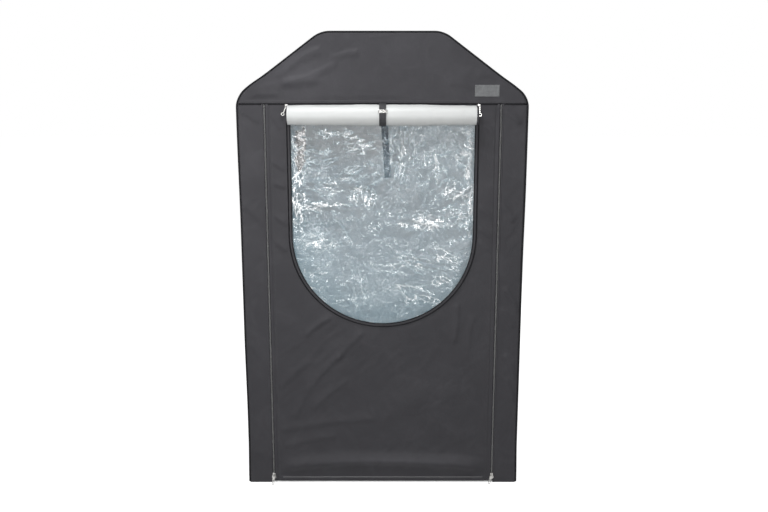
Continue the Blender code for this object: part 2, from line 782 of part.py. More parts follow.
def front_gable(finish):
    """Panel above the door, up to the piping round the roof."""
    low = DOOR_TOP_HEIGHT + HINGE_GAP
    high = TENT_HEIGHT - EDGE_INSET
    rows = outline_heights(low, EDGE_INSET, 0, 5)

    def surface(z, share):
        half = half_width(z, EDGE_INSET)
        x = share * half
        shift = fold_shift(x, z, TENT_WIDTH / 2, low, high, GABLE_FOLD_SHARES)
        kept = fade(outline_distance(x, z) - EDGE_INSET, z - low - ROLL_MIDDLE_RADIUS)
        return front_pair(x, z, shift * kept)

    return sheet("front_gable", rows, spaced(-1.0, 1.0, 14), surface, finish)


def rear_wall(finish):
    """Rear panel over the whole outline, with holes for the duct sleeve and the vent."""
    rows = [0.0, *outline_heights(REAR_SAG_MARGIN, 0.0, 9, 3)]

    def surface(z, share):
        half = half_width(z, 0.0)
        x = share * half
        edge = fade(outline_distance(x, z) - REAR_SAG_MARGIN)
        sleeve = math.hypot(x - SLEEVE_OFFSET, z - SLEEVE_HEIGHT) - SLEEVE_RADIUS - SLEEVE_FLANGE_WIDTH
        vent_x = abs(x) - VENT_WIDTH / 2 - FLAP_LAP
        vent_z = abs(z - VENT_BASE_HEIGHT - VENT_HEIGHT / 2) - VENT_HEIGHT / 2 - FLAP_LAP
        kept = edge * fade(sleeve - PORT_MARGIN, max(vent_x, vent_z) - PORT_MARGIN)
        folds = fold_shift(x, z, half, 0.0, TENT_HEIGHT, WALL_FOLD_SHARES)
        sag = (WALL_SAG - folds) * kept
        return Vector((x, REAR - sag, z)), Vector((x, INNER_REAR - sag, z))

    hole = [
        (
            SLEEVE_OFFSET + (SLEEVE_RADIUS + SEAT_GAP) * math.cos(angle),
            SLEEVE_HEIGHT + (SLEEVE_RADIUS + SEAT_GAP) * math.sin(angle),
        )
        for angle in spaced(0.0, 2 * math.pi, ARC_STEPS)[:-1]
    ]
    vent = [
        (sign_x * VENT_WIDTH / 2, VENT_BASE_HEIGHT + rise * VENT_HEIGHT)
        for sign_x, rise in ((-1, 0), (1, 0), (1, 1), (-1, 1))
    ]
    cutters = []
    for outline in (hole, vent):
        cutter = prism(outline, INNER_REAR - CUT_OVERRUN, REAR + CUT_OVERRUN, on_front)
        cutters.append(finish_mesh(cutter, "cutter"))
    return sheet("rear_wall", rows, edged(-1.0, 1.0, REAR_MARGIN_SHARE, 10), surface, finish, cutters)


def side_wall(name, side, finish):
    """Side panel from the floor up to the shoulder, drawn in a little between the tubes."""
    front_edge = FRONT + EDGE_INSET
    rear_edge = INNER_REAR - SEAT_GAP
    top = SHOULDER["centre"][1] - SEAT_GAP
    middle = (front_edge + rear_edge) / 2
    half = (rear_edge - front_edge) / 2

    def surface(z, y):
        folds = fold_shift(y - middle, z, half, 0.0, top, WALL_FOLD_SHARES)
        kept = fade(y - front_edge - FRAME_DEPTH, rear_edge - y - FRAME_DEPTH, z - FRAME_DEPTH, top - z)
        sag = (WALL_SAG - folds) * kept
        outer = Vector((side * (TENT_WIDTH / 2 - sag), y, z))
        return outer, outer - Vector((side * FABRIC_THICKNESS, 0, 0))

    rows = edged(0.0, top, FRAME_DEPTH, 11)
    return sheet(name, rows, edged(front_edge, rear_edge, FRAME_DEPTH, 7), surface, finish)


def roof_cover(finish):
    """Roof skin in one band over both slopes and the flat top."""
    front_edge = FRONT + EDGE_INSET
    rear_edge = INNER_REAR - SEAT_GAP
    stations = []
    for angle in spaced(0.0, SLOPE, BEND_STEPS):
        stations.append((*bend_point(SHOULDER, angle, 0.0), angle, 0.0))
    low = bend_point(SHOULDER, SLOPE, 0.0)
    high = bend_point(RIDGE, SLOPE, 0.0)
    for share in spaced(0.0, 1.0, 4)[1:-1]:
        x = low[0] + (high[0] - low[0]) * share
        z = low[1] + (high[1] - low[1]) * share
        stations.append((x, z, SLOPE, math.sin(math.pi * share)))
    for angle in spaced(SLOPE, math.pi / 2, BEND_STEPS):
        stations.append((*bend_point(RIDGE, angle, 0.0), angle, 0.0))
    top_x = RIDGE["centre"][0]
    for share in (0.5, 0.0):
        stations.append((top_x * share, TENT_HEIGHT, math.pi / 2, math.cos(math.pi / 2 * share)))
    mirrored = [(-x, z, math.pi - angle, sag) for x, z, angle, sag in reversed(stations[:-1])]

    def surface(y, station):
        x, z, angle, slack = station
        sag = ROOF_SAG * slack * fade(y - front_edge - FRAME_DEPTH, rear_edge - y - FRAME_DEPTH)
        outward = Vector((math.cos(angle), 0, math.sin(angle)))
        outer = Vector((x, y, z)) - outward * sag
        return outer, outer - outward * FABRIC_THICKNESS

    rows = edged(front_edge, rear_edge, FRAME_DEPTH, 5)
    return sheet("roof_cover", rows, stations + mirrored, surface, finish)


def floor_sheet(finish):
    """Floor panel inside the foot of the walls."""
    half_x = TENT_WIDTH / 2 - FABRIC_THICKNESS - SEAT_GAP
    half_y = TENT_DEPTH / 2 - FABRIC_THICKNESS - SEAT_GAP
    outline = round_box(half_x, half_y, FABRIC_THICKNESS)
    bm = prism(outline, 0.0, FABRIC_THICKNESS, lambda x, y, z: Vector((x, y, z)))
    return new_object("floor_sheet", finish_mesh(bm, "floor_sheet"), finish)


def front_piping(finish):
    """Piping sewn round the front edge of the skin, up one side and down the other."""
    right = [(TENT_WIDTH / 2 - PIPING_RADIUS, FABRIC_THICKNESS)]
    right += bend_points(SHOULDER, PIPING_RADIUS) + bend_points(RIDGE, PIPING_RADIUS)
    path = right + [(-x, z) for x, z in reversed(right)]
    points = [Vector((x, FRONT + PIPING_RADIUS, z)) for x, z in path]
    bm = swept_wire(points, PIPING_RADIUS, Vector((0, 1, 0)))
    return new_object("front_piping", finish_mesh(bm, "front_piping"), finish)


# Window, its binding and its cover


def window_film(finish):
    """Clear sheet sewn behind the window opening."""
    front_face = INNER_FRONT + SEAT_GAP
    outline = window_outline(FILM_LAP, WINDOW_TOP_HEIGHT + FILM_LAP)
    bm = prism(outline, front_face, front_face + FILM_THICKNESS, on_front)
    return new_object("window_film", finish_mesh(bm, "window_film"), finish)


def window_binding(finish):
    """Tape round the window that carries half of the cover's zip, its bead held off the door."""
    tape_front = SEAT_GAP + BINDING_TAPE_THICKNESS
    rise = BINDING_TAPE_WIDTH + BINDING_RISE_WIDTH
    bead_front = BINDING_BEAD_LIFT + BINDING_BEAD_THICKNESS
    profile = (
        (0.0, SEAT_GAP),
        (BINDING_TAPE_WIDTH, SEAT_GAP),
        (rise, BINDING_BEAD_LIFT),
        (BINDING_WIDTH, BINDING_BEAD_LIFT),
        (BINDING_WIDTH, bead_front),
        (rise, bead_front),
        (BINDING_TAPE_WIDTH, tape_front),
        (0.0, tape_front),
    )
    top = DOOR_TOP_HEIGHT - BINDING_TOP_MARGIN
    rings = []
    for number, (x, z) in enumerate(window_outline(0.0, top)):
        angle = math.pi + math.pi * min(max(number - 1, 0), ARC_STEPS) / ARC_STEPS
        out_x, out_z = math.cos(angle), math.sin(angle)
        rings.append([Vector((x + out_x * s, FRONT - rise_y, z + out_z * s)) for s, rise_y in profile])
    return new_object("window_binding", finish_mesh(loft(rings), "window_binding"), finish)


def roll_back():
    """Y of the rolled cover's back, where it hangs clear of the strap behind it."""
    return FRONT - SEAT_GAP - STRAP_THICKNESS - SEAT_GAP


def roll_radius(share):
    """Outer radius of the roll at a share of its half length: fuller in the middle."""
    return ROLL_END_RADIUS + (ROLL_MIDDLE_RADIUS - ROLL_END_RADIUS) * (1 - share * share)


def roll_outline(share):
    """Outer and inner line of the rolled sheet at one station, in the YZ plane.

    The sheet hangs down at the back, then winds forwards and inwards, so its lining shows.
    """
    radius = roll_radius(share)
    centre_y = roll_back() - radius
    hanging = DOOR_TOP_HEIGHT - COVER_SEAM_MARGIN - ROLL_CENTRE_HEIGHT
    wound = COVER_LENGTH - hanging
    pitch = math.pi * (ROLL_MIDDLE_RADIUS**2 - ROLL_CORE_RADIUS**2) / wound
    turns = (ROLL_MIDDLE_RADIUS - ROLL_CORE_RADIUS) / pitch
    steps = round(turns * ROLL_STEPS_PER_TURN)
    shrink = (radius - ROLL_CORE_RADIUS) / (ROLL_MIDDLE_RADIUS - ROLL_CORE_RADIUS)
    lines = []
    for depth in (0.0, COVER_THICKNESS):
        line = [(centre_y + radius - depth, DOOR_TOP_HEIGHT - COVER_SEAM_MARGIN)]
        for number in range(steps + 1):
            turn = turns * number / steps
            reach = radius - shrink * pitch * turn - depth
            angle = -2 * math.pi * turn
            height = ROLL_CENTRE_HEIGHT + reach * math.sin(angle)
            line.append((centre_y + reach * math.cos(angle), height))
        lines.append(line)
    return lines


def roll_least_gap():
    """Least gap between neighbouring turns of the roll, measured on its points."""
    least = TENT_WIDTH
    for share in ROLL_STATION_SHARES:
        outer, inner = roll_outline(share)
        for number, (y, z) in enumerate(inner):
            for later in range(number + ROLL_STEPS_PER_TURN // 2, len(outer)):
                gap = math.hypot(outer[later][0] - y, outer[later][1] - z)
                least = min(least, gap)
    return least


def window_cover_roll(finish):
    """Window cover rolled up from below as one spiral sheet, hanging from the door's top seam."""
    stations = []
    for share in ROLL_STATION_SHARES:
        outer, inner = roll_outline(share)
        outline = outer + inner[::-1]
        stations.append([Vector((share * COVER_HALF_WIDTH, y, z)) for y, z in outline])
    bm = bmesh.new()
    rows = [[bm.verts.new(point) for point in points] for points in stations]
    count = len(rows[0])
    for low, high in zip(rows, rows[1:]):
        for number in range(count):
            after = (number + 1) % count
            bm.faces.new((low[number], low[after], high[after], high[number]))
    for row in (rows[0], rows[-1]):
        for number in range(count // 2 - 1):
            far = count - 1 - number
            bm.faces.new((row[number], row[number + 1], row[far - 1], row[far]))
    return new_object("window_cover_roll", finish_mesh(bm, "window_cover_roll"), finish)


def strap_path():
    """Path (y, z) of the strap's middle: over the roll, under it and up behind it to the seam."""
    centre_y = roll_back() - ROLL_MIDDLE_RADIUS
    reach = ROLL_MIDDLE_RADIUS + SEAT_GAP + STRAP_THICKNESS / 2
    top = DOOR_TOP_HEIGHT - STRAP_SEAM_MARGIN
    start_y = roll_back() - COVER_THICKNESS - SEAT_GAP - STRAP_THICKNESS / 2
    offset_y = start_y - centre_y
    offset_z = top - ROLL_CENTRE_HEIGHT
    away = math.hypot(offset_y, offset_z)
    touch = math.atan2(offset_z, offset_y) + math.acos(min(reach / away, 1.0))
    path = [(start_y, top)]
    for angle in spaced(touch, 2 * math.pi, ARC_STEPS):
        path.append((centre_y + reach * math.cos(angle), ROLL_CENTRE_HEIGHT + reach * math.sin(angle)))
    path.append((centre_y + reach, top))
    return path


def cover_strap(finish):
    """Flat webbing loop that holds the roll."""
    path = [Vector((0, y, z)) for y, z in strap_path()]
    rings = []
    for point, along in zip(path, path_directions(path)):
        across = Vector((1, 0, 0)) * STRAP_WIDTH / 2
        out = Vector((1, 0, 0)).cross(along) * STRAP_THICKNESS / 2
        rings.append([point - across - out, point + across - out, point + across + out, point - across + out])
    return new_object("cover_strap", finish_mesh(loft(rings), "cover_strap"), finish)


def strap_ring(finish):
    """Metal ring that lies on the strap, in front of the roll."""
    angle = math.pi - math.radians(RING_ANGLE_DEG)
    reach = ROLL_MIDDLE_RADIUS + 2 * SEAT_GAP + STRAP_THICKNESS + RING_WIRE_RADIUS
    centre = Vector((0, roll_back() - ROLL_MIDDLE_RADIUS + reach * math.cos(angle), ROLL_CENTRE_HEIGHT))
    centre += Vector((0, 0, reach * math.sin(angle)))
    along = Vector((0, math.sin(angle), -math.cos(angle)))
    outline = round_box(RING_HALF_WIDTH, RING_HALF_HEIGHT, RING_CORNER_RADIUS)
    points = [centre + Vector((a, 0, 0)) + along * b for a, b in outline]
    out = Vector((0, math.cos(angle), math.sin(angle)))
    bm = swept_wire(points, RING_WIRE_RADIUS, out, closed=True)
    return new_object("strap_ring", finish_mesh(bm, "strap_ring"), finish)


def inner_strap(finish):
    """Webbing that hangs inside behind the film, a little aslant."""
    top = WINDOW_TOP_HEIGHT + FILM_LAP + INNER_STRAP_TOP_MARGIN
    front_face = INNER_FRONT + 2 * SEAT_GAP + FILM_THICKNESS
    rings = []
    for share in spaced(0.0, 1.0, 6):
        x = INNER_STRAP_START + INNER_STRAP_SLANT * share
        y = front_face + INNER_STRAP_SWING * math.sin(math.pi / 2 * share) ** 2
        z = top - INNER_STRAP_LENGTH * share
        left, right = x - STRAP_WIDTH / 2, x + STRAP_WIDTH / 2
        back = y + STRAP_THICKNESS
        corners = ((left, y), (right, y), (right, back), (left, back))
        rings.append([Vector((x, y, z)) for x, y in corners])
    return new_object("inner_strap", finish_mesh(loft(rings), "inner_strap"), finish)


# Zip sliders and their pulls


def crown(pivot, root_y, rise):
    """Wire arch on a slider, round under the head bar of its pull and straight above it."""
    path = [(root_y, -CROWN_RADIUS)]
    for angle in spaced(-math.pi / 2, -math.pi, BEND_STEPS):
        path.append((pivot.y + CROWN_RADIUS * math.cos(angle), CROWN_RADIUS * math.sin(angle)))
    path.append((pivot.y - CROWN_RADIUS, rise))
    path.append((pivot.y - CROWN_WIRE_RADIUS, rise + CROWN_RADIUS))
    path.append((root_y, rise + CROWN_RADIUS))
    points = [Vector((pivot.x, y, pivot.z + z)) for y, z in path]
    return finish_mesh(swept_wire(points, CROWN_WIRE_RADIUS, Vector((1, 0, 0))), "crown")


def door_slider_pivot(side):
    """Axis of a door slider's pull."""
    face = FRONT - BEAD_PROUD - RUNNING_GAP - SLIDER_PLATE
    height = SLIDER_LIFT + PIVOT_HEIGHT_SHARE * SLIDER_HEIGHT
    return Vector((side * ZIP_OFFSET, face - PIVOT_STANDOFF, height))


def door_slider(name, side, finish):
    """Slider of a door zip: a shield in front, a wedge between the chains and a plate behind."""
    back = FRONT - BEAD_PROUD - RUNNING_GAP
    front = back - SLIDER_PLATE
    rear_front = INNER_FRONT + RUNNING_GAP
    rear_back = rear_front + SLIDER_REAR_PLATE
    nose, tail = SLIDER_NOSE_WIDTH / 2, SLIDER_TAIL_WIDTH / 2
    x = side * ZIP_OFFSET
    low = SLIDER_LIFT
    high = low + SLIDER_HEIGHT
    waist = low + SLIDER_HEIGHT / 2
    shield = [
        (x - nose / 2, low),
        (x + nose / 2, low),
        (x + nose, low + nose / 2),
        (x + nose, low + nose),
        (x + tail, waist + tail / 2),
        (x + tail, high - tail / 2),
        (x + tail / 2, high),
        (x - tail / 2, high),
        (x - tail, high - tail / 2),
        (x - tail, waist + tail / 2),
        (x - nose, low + nose),
        (x - nose, low + nose / 2),
    ]
    plate = finish_mesh(prism(shield, front, back, on_front), "plate")
    half = SLIDER_WEDGE / 2
    wedge_top = low + SLIDER_WEDGE_HEIGHT
    wedge = [(x - half, low + half), (x + half, low + half), (x + half, wedge_top), (x - half, wedge_top)]
    web = finish_mesh(prism(wedge, front + SLIDER_PLATE / 2, rear_back, on_front), "web")
    near, far = x + side * half / 2, x - side * SLIDER_REAR_WIDTH
    rear = [(near, low + half / 2), (far, low + half / 2), (far, waist), (near, waist + nose / 2)]
    rear_plate = finish_mesh(prism(rear, rear_front, rear_back - half / 2, on_front), "rear")
    arch = crown(door_slider_pivot(side), front + CROWN_ROOT, DOOR_CROWN_RISE)
    mesh = combined(name, plate, [web, rear_plate, arch])
    return new_object(name, mesh, finish)


def cover_slider_pivot(side):
    """Axis of a cover slider's pull."""
    bead_front = BINDING_BEAD_LIFT + BINDING_BEAD_THICKNESS
    face = FRONT - bead_front - RUNNING_GAP - COVER_SLIDER_PLATE
    x = side * (WINDOW_HALF_WIDTH + BINDING_WIDTH - BINDING_BEAD_WIDTH / 2)
    top = DOOR_TOP_HEIGHT - COVER_SLIDER_TOP_MARGIN
    return Vector((x, face - PIVOT_STANDOFF, top - COVER_SLIDER_HEIGHT / 2))


def cover_slider(name, side, finish):
    """Slider of the cover's zip: a folded plate that hooks round the bead on the window's binding."""
    bead_front = BINDING_BEAD_LIFT + BINDING_BEAD_THICKNESS
    plate_back = bead_front + RUNNING_GAP
    plate_front = plate_back + COVER_SLIDER_PLATE
    flange_in = BINDING_WIDTH + RUNNING_GAP
    flange_out = flange_in + COVER_SLIDER_FLANGE
    plate_in = BINDING_TAPE_WIDTH - COVER_SLIDER_INNER_LAP + BINDING_RISE_WIDTH
    lip_front = BINDING_BEAD_LIFT - RUNNING_GAP
    lip_back = lip_front - COVER_SLIDER_LIP
    lip_in = flange_in - COVER_SLIDER_LIP_WIDTH
    profile = [
        (plate_in, plate_front),
        (flange_out, plate_front),
        (flange_out, lip_back),
        (lip_in, lip_back),
        (lip_in, lip_front),
        (flange_in, lip_front),
        (flange_in, plate_back),
        (plate_in, plate_back),
    ]
    top = DOOR_TOP_HEIGHT - COVER_SLIDER_TOP_MARGIN
    placed = [(side * (WINDOW_HALF_WIDTH + s), FRONT - rise) for s, rise in profile]
    body = prism(placed, top - COVER_SLIDER_HEIGHT, top, lambda x, y, z: Vector((x, y, z)))
    arch = crown(cover_slider_pivot(side), FRONT - plate_front + CROWN_ROOT, COVER_CROWN_RISE)
    mesh = combined(name, finish_mesh(body, "body"), [arch])
    return new_object(name, mesh, finish)


def circle_outline(z, radius):
    """Outline of a circle on a pull's centre line."""
    angles = spaced(0.0, 2 * math.pi, ROUND_SIDES)[:-1]
    return [(radius * math.cos(angle), z + radius * math.sin(angle)) for angle in angles]


def pull_mesh(name, bar_half, end_radius, length, hole):
    """Pull hanging from the origin: slotted head, bar and round end with a hole."""
    top = PULL_THICKNESS / 2
    head = PULL_SLOT_HALF_WIDTH + PULL_WALL
    shoulder = -PULL_SLOT_LENGTH - PULL_WALL
    neck = shoulder - abs(head - bar_half)
    opening = math.asin(bar_half / end_radius)
    side = [(head, top), (head, shoulder), (bar_half, neck)]
    end = [
        (end_radius * math.sin(angle), end_radius - length + end_radius * math.cos(angle))
        for angle in spaced(opening, 2 * math.pi - opening, ROUND_SIDES)
    ]
    outline = side + end + [(-x, z) for x, z in reversed(side)]
    half = PULL_SLOT_HALF_WIDTH
    low = -PULL_SLOT_LENGTH
    slot = [(-half, -top), (half, -top), (half, low), (-half, low)]
    blade = finish_mesh(prism(outline, -top, top, on_front), name)
    cutters = [finish_mesh(prism(cut, -CUT_OVERRUN, CUT_OVERRUN, on_front), "cut") for cut in (slot, hole)]
    return combined(name, blade, cutters, "DIFFERENCE")


def placed_pull(name, mesh, pivot, lean, sway_deg, finish):
    """Pull on its slider, leaned forwards and swayed to one side."""
    made = new_object(name, mesh, finish)
    turn = Matrix.Rotation(-lean, 4, "X") @ Matrix.Rotation(math.radians(sway_deg), 4, "Y")
    made.matrix_world = Matrix.Translation(pivot) @ turn
    return made


def door_pull_lean():
    """Angle from straight down at which a door pull rests on the floor."""
    drop = SLIDER_LIFT + PIVOT_HEIGHT_SHARE * SLIDER_HEIGHT - PULL_FLOOR_CLEARANCE
    return math.acos(min(drop / DOOR_PULL_LENGTH, 1.0))


def door_pull(name, side, sway_deg, finish):
    """Long looped pull of a door zip, leaning forwards with its end near the floor."""
    half = DOOR_PULL_HALF_WIDTH
    loop_half = DOOR_PULL_LOOP_HALF_WIDTH
    loop = round_box(loop_half, DOOR_PULL_LOOP_LENGTH / 2, loop_half - SEAT_GAP)
    loop = shifted(loop, 0.0, half + DOOR_PULL_LOOP_LENGTH / 2 - loop_half - DOOR_PULL_LENGTH)
    mesh = pull_mesh(name, half, half, DOOR_PULL_LENGTH, loop)
    return placed_pull(name, mesh, door_slider_pivot(side), door_pull_lean(), sway_deg, finish)


def cover_pull(name, side, sway_deg, finish):
    """Slim pull of the cover's zip with a ring at its end, hanging straight down."""
    hole = circle_outline(COVER_PULL_RING_RADIUS - COVER_PULL_LENGTH, COVER_PULL_RING_HOLE)
    mesh = pull_mesh(name, COVER_PULL_BAR_HALF_WIDTH, COVER_PULL_RING_RADIUS, COVER_PULL_LENGTH, hole)
    return placed_pull(name, mesh, cover_slider_pivot(side), 0.0, sway_deg, finish)


# Ports in the rear wall


def duct_sleeve(finish):
    """Soft sleeve for a duct, sewn to the outside of the rear wall by its flange."""
    inner = SLEEVE_RADIUS - SLEEVE_THICKNESS
    flange_back = REAR + SEAT_GAP
    flange_front = flange_back + SLEEVE_THICKNESS
    flange = SLEEVE_RADIUS + SLEEVE_FLANGE_WIDTH
    waist_y = REAR + SLEEVE_WAIST_SHARE * SLEEVE_REACH
    mouth_y = REAR + SLEEVE_REACH
    waist = SLEEVE_RADIUS - SLEEVE_WAIST
    profile = [
        (inner, INNER_REAR),
        (SLEEVE_RADIUS, INNER_REAR),
        (SLEEVE_RADIUS, flange_back),
        (flange, flange_back),
        (flange, flange_front),
        (SLEEVE_RADIUS, flange_front),
        (waist, waist_y),
        (SLEEVE_RADIUS, mouth_y),
        (inner, mouth_y),
        (waist - SLEEVE_THICKNESS, waist_y),
    ]
    centre = Vector((SLEEVE_OFFSET, 0, SLEEVE_HEIGHT))
    rings = []
    for radius, y in profile:
        turned = []
        for number in range(ARC_STEPS):
            angle = 2 * math.pi * number / ARC_STEPS
            turned.append(centre + Vector((radius * math.cos(angle), y, radius * math.sin(angle))))
        rings.append(turned)
    return new_object("duct_sleeve", finish_mesh(loft(rings, closed=True), "duct_sleeve"), finish)


def vent_mesh(finish):
    """Net panel sewn behind the vent's opening."""
    front = INNER_REAR - SEAT_GAP
    outline = round_box(VENT_WIDTH / 2 + VENT_LAP, VENT_HEIGHT / 2 + VENT_LAP, VENT_LAP / 2)
    placed = shifted(outline, 0.0, VENT_BASE_HEIGHT + VENT_HEIGHT / 2)
    bm = prism(placed, front - VENT_MESH_THICKNESS, front, on_front)
    return new_object("vent_mesh", finish_mesh(bm, "vent_mesh"), finish)


def vent_flap(finish):
    """Flap over the vent, hinged along its top seam, outside the rear wall."""
    back = REAR + HINGE_GAP
    outline = round_box(VENT_WIDTH / 2 + FLAP_LAP, VENT_HEIGHT / 2 + FLAP_LAP, FLAP_CORNER_RADIUS)
    placed = shifted(outline, 0.0, VENT_BASE_HEIGHT + VENT_HEIGHT / 2)
    bm = prism(placed, back, back + FABRIC_THICKNESS, on_front)
    return new_object("vent_flap", finish_mesh(bm, "vent_flap"), finish)


def vent_hinge():
    """Middle of the vent flap's top seam, on its outer face."""
    top = VENT_BASE_HEIGHT + VENT_HEIGHT + FLAP_LAP
    return Vector((0, REAR + HINGE_GAP + FABRIC_THICKNESS, top))


def build():
    """Make every piece of the tent."""
    clear_scene()
    steel = material("painted_steel", (0.72, 0.73, 0.74), 0.35, 0.6)
    plastic = material("black_plastic", (0.025, 0.025, 0.027), 0.5)
    fabric = material("grey_fabric", (0.062, 0.061, 0.067), 0.62)
    dark_fabric = material("dark_trim", (0.022, 0.022, 0.024), 0.7)
    lining = material("white_lining", (0.80, 0.81, 0.81), 0.45)
    film = material("clear_film", (0.62, 0.68, 0.70), 0.12)
    webbing = material("black_webbing", (0.03, 0.03, 0.032), 0.8)
    nickel = material("nickel", (0.74, 0.74, 0.73), 0.25, 1.0)
    net = material("black_net", (0.02, 0.02, 0.02), 0.8)

    build_frame(steel, plastic)
    for end_name, end in ENDS:
        lamp_bar(f"lamp_bar_{end_name}", end * BAR_SPACING / 2, steel)

    floor_sheet(lining)
    rear_wall(fabric)
    roof_cover(fabric)
    front_gable(fabric)
    front_piping(dark_fabric)
    for side_name, side in SIDES:
        side_wall(f"side_wall_{side_name}", side, fabric)
        front_strip(f"front_strip_{side_name}", side, fabric)

    door_panel(fabric)
    window_film(film)
    window_binding(dark_fabric)
    window_cover_roll(lining)
    cover_strap(webbing)
    strap_ring(nickel)
    inner_strap(webbing)
    for side_name, side in SIDES:
        door_slider(f"door_slider_{side_name}", side, nickel)
        cover_slider(f"cover_slider_{side_name}", side, nickel)
    door_pull("door_pull_left", -1, 3, nickel)
    door_pull("door_pull_right", 1, 22, nickel)
    cover_pull("cover_pull_left", -1, 24, nickel)
    cover_pull("cover_pull_right", 1, -7, nickel)

    duct_sleeve(fabric)
    vent_mesh(net)
    vent_flap(fabric)

    for name in DOOR_NODES:
        set_origin(name, Vector((0, FRONT, DOOR_TOP_HEIGHT)))
    for side_name, side in SIDES:
        set_origin(f"door_slider_{side_name}", door_slider_pivot(side))
        set_origin(f"cover_slider_{side_name}", cover_slider_pivot(side))
    for end_name, end in ENDS:
        set_origin(f"lamp_bar_{end_name}", Vector((0, end * BAR_SPACING / 2, bend_middle(SHOULDER)[1])))
    set_origin("vent_flap", vent_hinge())

    print(f"least gap between turns of the rolled cover: {roll_least_gap() * 1000:.2f} mm")
    if roll_least_gap() < ROLL_LEAST_GAP:
        print("the rolled cover touches itself")


build()
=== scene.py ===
"""Looks of the indoor grow tent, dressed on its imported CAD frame.

The cloth panels, the clear film, the rolled window cover, the straps and the trim are built here as
fine meshes in the places that the frame gives. Units are metres, +Z is up and the front faces -Y.
"""

import math

import bpy
import numpy as np
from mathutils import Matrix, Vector


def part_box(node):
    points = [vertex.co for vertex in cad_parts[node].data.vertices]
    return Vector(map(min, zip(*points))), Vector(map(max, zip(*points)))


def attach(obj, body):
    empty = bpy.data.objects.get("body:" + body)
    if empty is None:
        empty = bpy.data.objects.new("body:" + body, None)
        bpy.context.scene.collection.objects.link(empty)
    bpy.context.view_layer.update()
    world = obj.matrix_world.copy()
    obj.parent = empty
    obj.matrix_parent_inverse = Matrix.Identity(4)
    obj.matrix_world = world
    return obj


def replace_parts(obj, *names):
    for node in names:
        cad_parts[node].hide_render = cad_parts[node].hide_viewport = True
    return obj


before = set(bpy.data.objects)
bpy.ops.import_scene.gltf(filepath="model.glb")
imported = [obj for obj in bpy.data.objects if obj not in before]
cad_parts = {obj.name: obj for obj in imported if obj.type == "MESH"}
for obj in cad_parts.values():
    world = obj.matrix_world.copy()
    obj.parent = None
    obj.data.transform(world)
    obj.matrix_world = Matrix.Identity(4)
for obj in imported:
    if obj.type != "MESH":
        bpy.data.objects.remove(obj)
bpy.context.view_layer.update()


def low(node):
    """Lowest corner of a CAD node."""
    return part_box(node)[0]


def high(node):
    """Highest corner of a CAD node."""
    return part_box(node)[1]


# Photograph and camera
PHOTO_WIDTH = 768
FOCAL_LENGTH_PIXELS = 793.0
SENSOR_WIDTH_MM = 36.0
CAMERA_PLACE = (0.0055, -3.7746, 1.6654)
CAMERA_TILT_DEG = 10.7

# Places that the frame gives
FRONT = low("front_piping").y
REAR = high("rear_wall").y
HALF_WIDTH = high("rear_wall").x
TOP = high("rear_wall").z
DOOR_TOP = high("door_panel").z
DOOR_BOTTOM = low("door_panel").z
DOOR_EDGE = high("door_panel").x
STRIP_EDGE = low("front_strip_right").x
ZIP_X = (DOOR_EDGE + STRIP_EDGE) / 2
PIPING_RADIUS = (high("front_piping").y - FRONT) / 2
WALL_TOP = high("side_wall_right").z

# Outline of the tent, as the CAD model has it
ROOF_RISE = 0.260
FLAT_TOP_WIDTH = 0.500
SHOULDER_BEND_RADIUS = 0.080
RIDGE_BEND_RADIUS = 0.110
SHOULDER_HEIGHT = TOP - ROOF_RISE

# Cloth, and the size of its mesh's cells
CLOTH = 0.0010
LINING = 0.0004
LINING_GAP = 0.0005
EDGE_INSET = 0.0053
PANEL_STEP = 0.007
WALL_STEP = 0.011
STITCH_STEP = 0.01
CLEARANCE = 0.004
# Gap that keeps skins of the same place apart
SKIN_GAP = 0.0002

# Window
BINDING_WIDTH = 0.0175
WINDOW_HALF = high("window_binding").x - BINDING_WIDTH
WINDOW_TOP = DOOR_TOP - 0.064
WINDOW_LEG = 0.489
WINDOW_ARC = WINDOW_TOP - WINDOW_LEG
FILM_LAP = 0.012
FILM_THICKNESS = 0.0004
FILM_STEP = 0.0030

MILLIMETRE = 0.001
SIDES = (("left", -1), ("right", 1))
OUTWARD = (0, -1, 0)
INWARD = (0, 1, 0)


# Numbers and noise


def spaced(start, end, step):
    """Evenly spaced values from start to end, about a step apart."""
    return np.linspace(start, end, max(1, round(abs(end - start) / step)) + 1)


def graded(start, *stretches):
    """Values from start on through stretches, each an (end, step) or the list of its values."""
    values = [np.array([float(start)])]
    for stretch in stretches:
        row = spaced(values[-1][-1], *stretch) if isinstance(stretch, tuple) else np.array(stretch)
        values.append(row[1:])
    return np.concatenate(values)


def smooth(value):
    """Rise smoothly from 0 to 1."""
    held = np.clip(value, 0.0, 1.0)
    return held * held * (3 - 2 * held)


def soft_noise(u, v, seed):
    """Smooth noise from -1 to 1 that changes about once per unit."""
    size = 64
    values = np.random.default_rng(seed).uniform(-1, 1, (size, size))
    cell_u, cell_v = np.floor(u).astype(int), np.floor(v).astype(int)
    share_u, share_v = smooth(u - cell_u), smooth(v - cell_v)
    low_u, low_v = cell_u % size, cell_v % size
    high_u, high_v = (cell_u + 1) % size, (cell_v + 1) % size
    lower = values[low_u, low_v] * (1 - share_u) + values[high_u, low_v] * share_u
    upper = values[low_u, high_v] * (1 - share_u) + values[high_u, high_v] * share_u
    return lower * (1 - share_v) + upper * share_v


def layered_noise(u, v, seed, layers=3):
    """Noise with finer layers, each half as strong."""
    total = np.zeros_like(u)
    for layer in range(layers):
        total += soft_noise(u * 2**layer + 7.3 * layer, v * 2**layer, seed + layer) / 2**layer
    return total


def area_under(widths, heights):
    """Area of a shape from its width at each height."""
    return float(np.sum((widths[1:] + widths[:-1]) / 2 * np.diff(heights)))


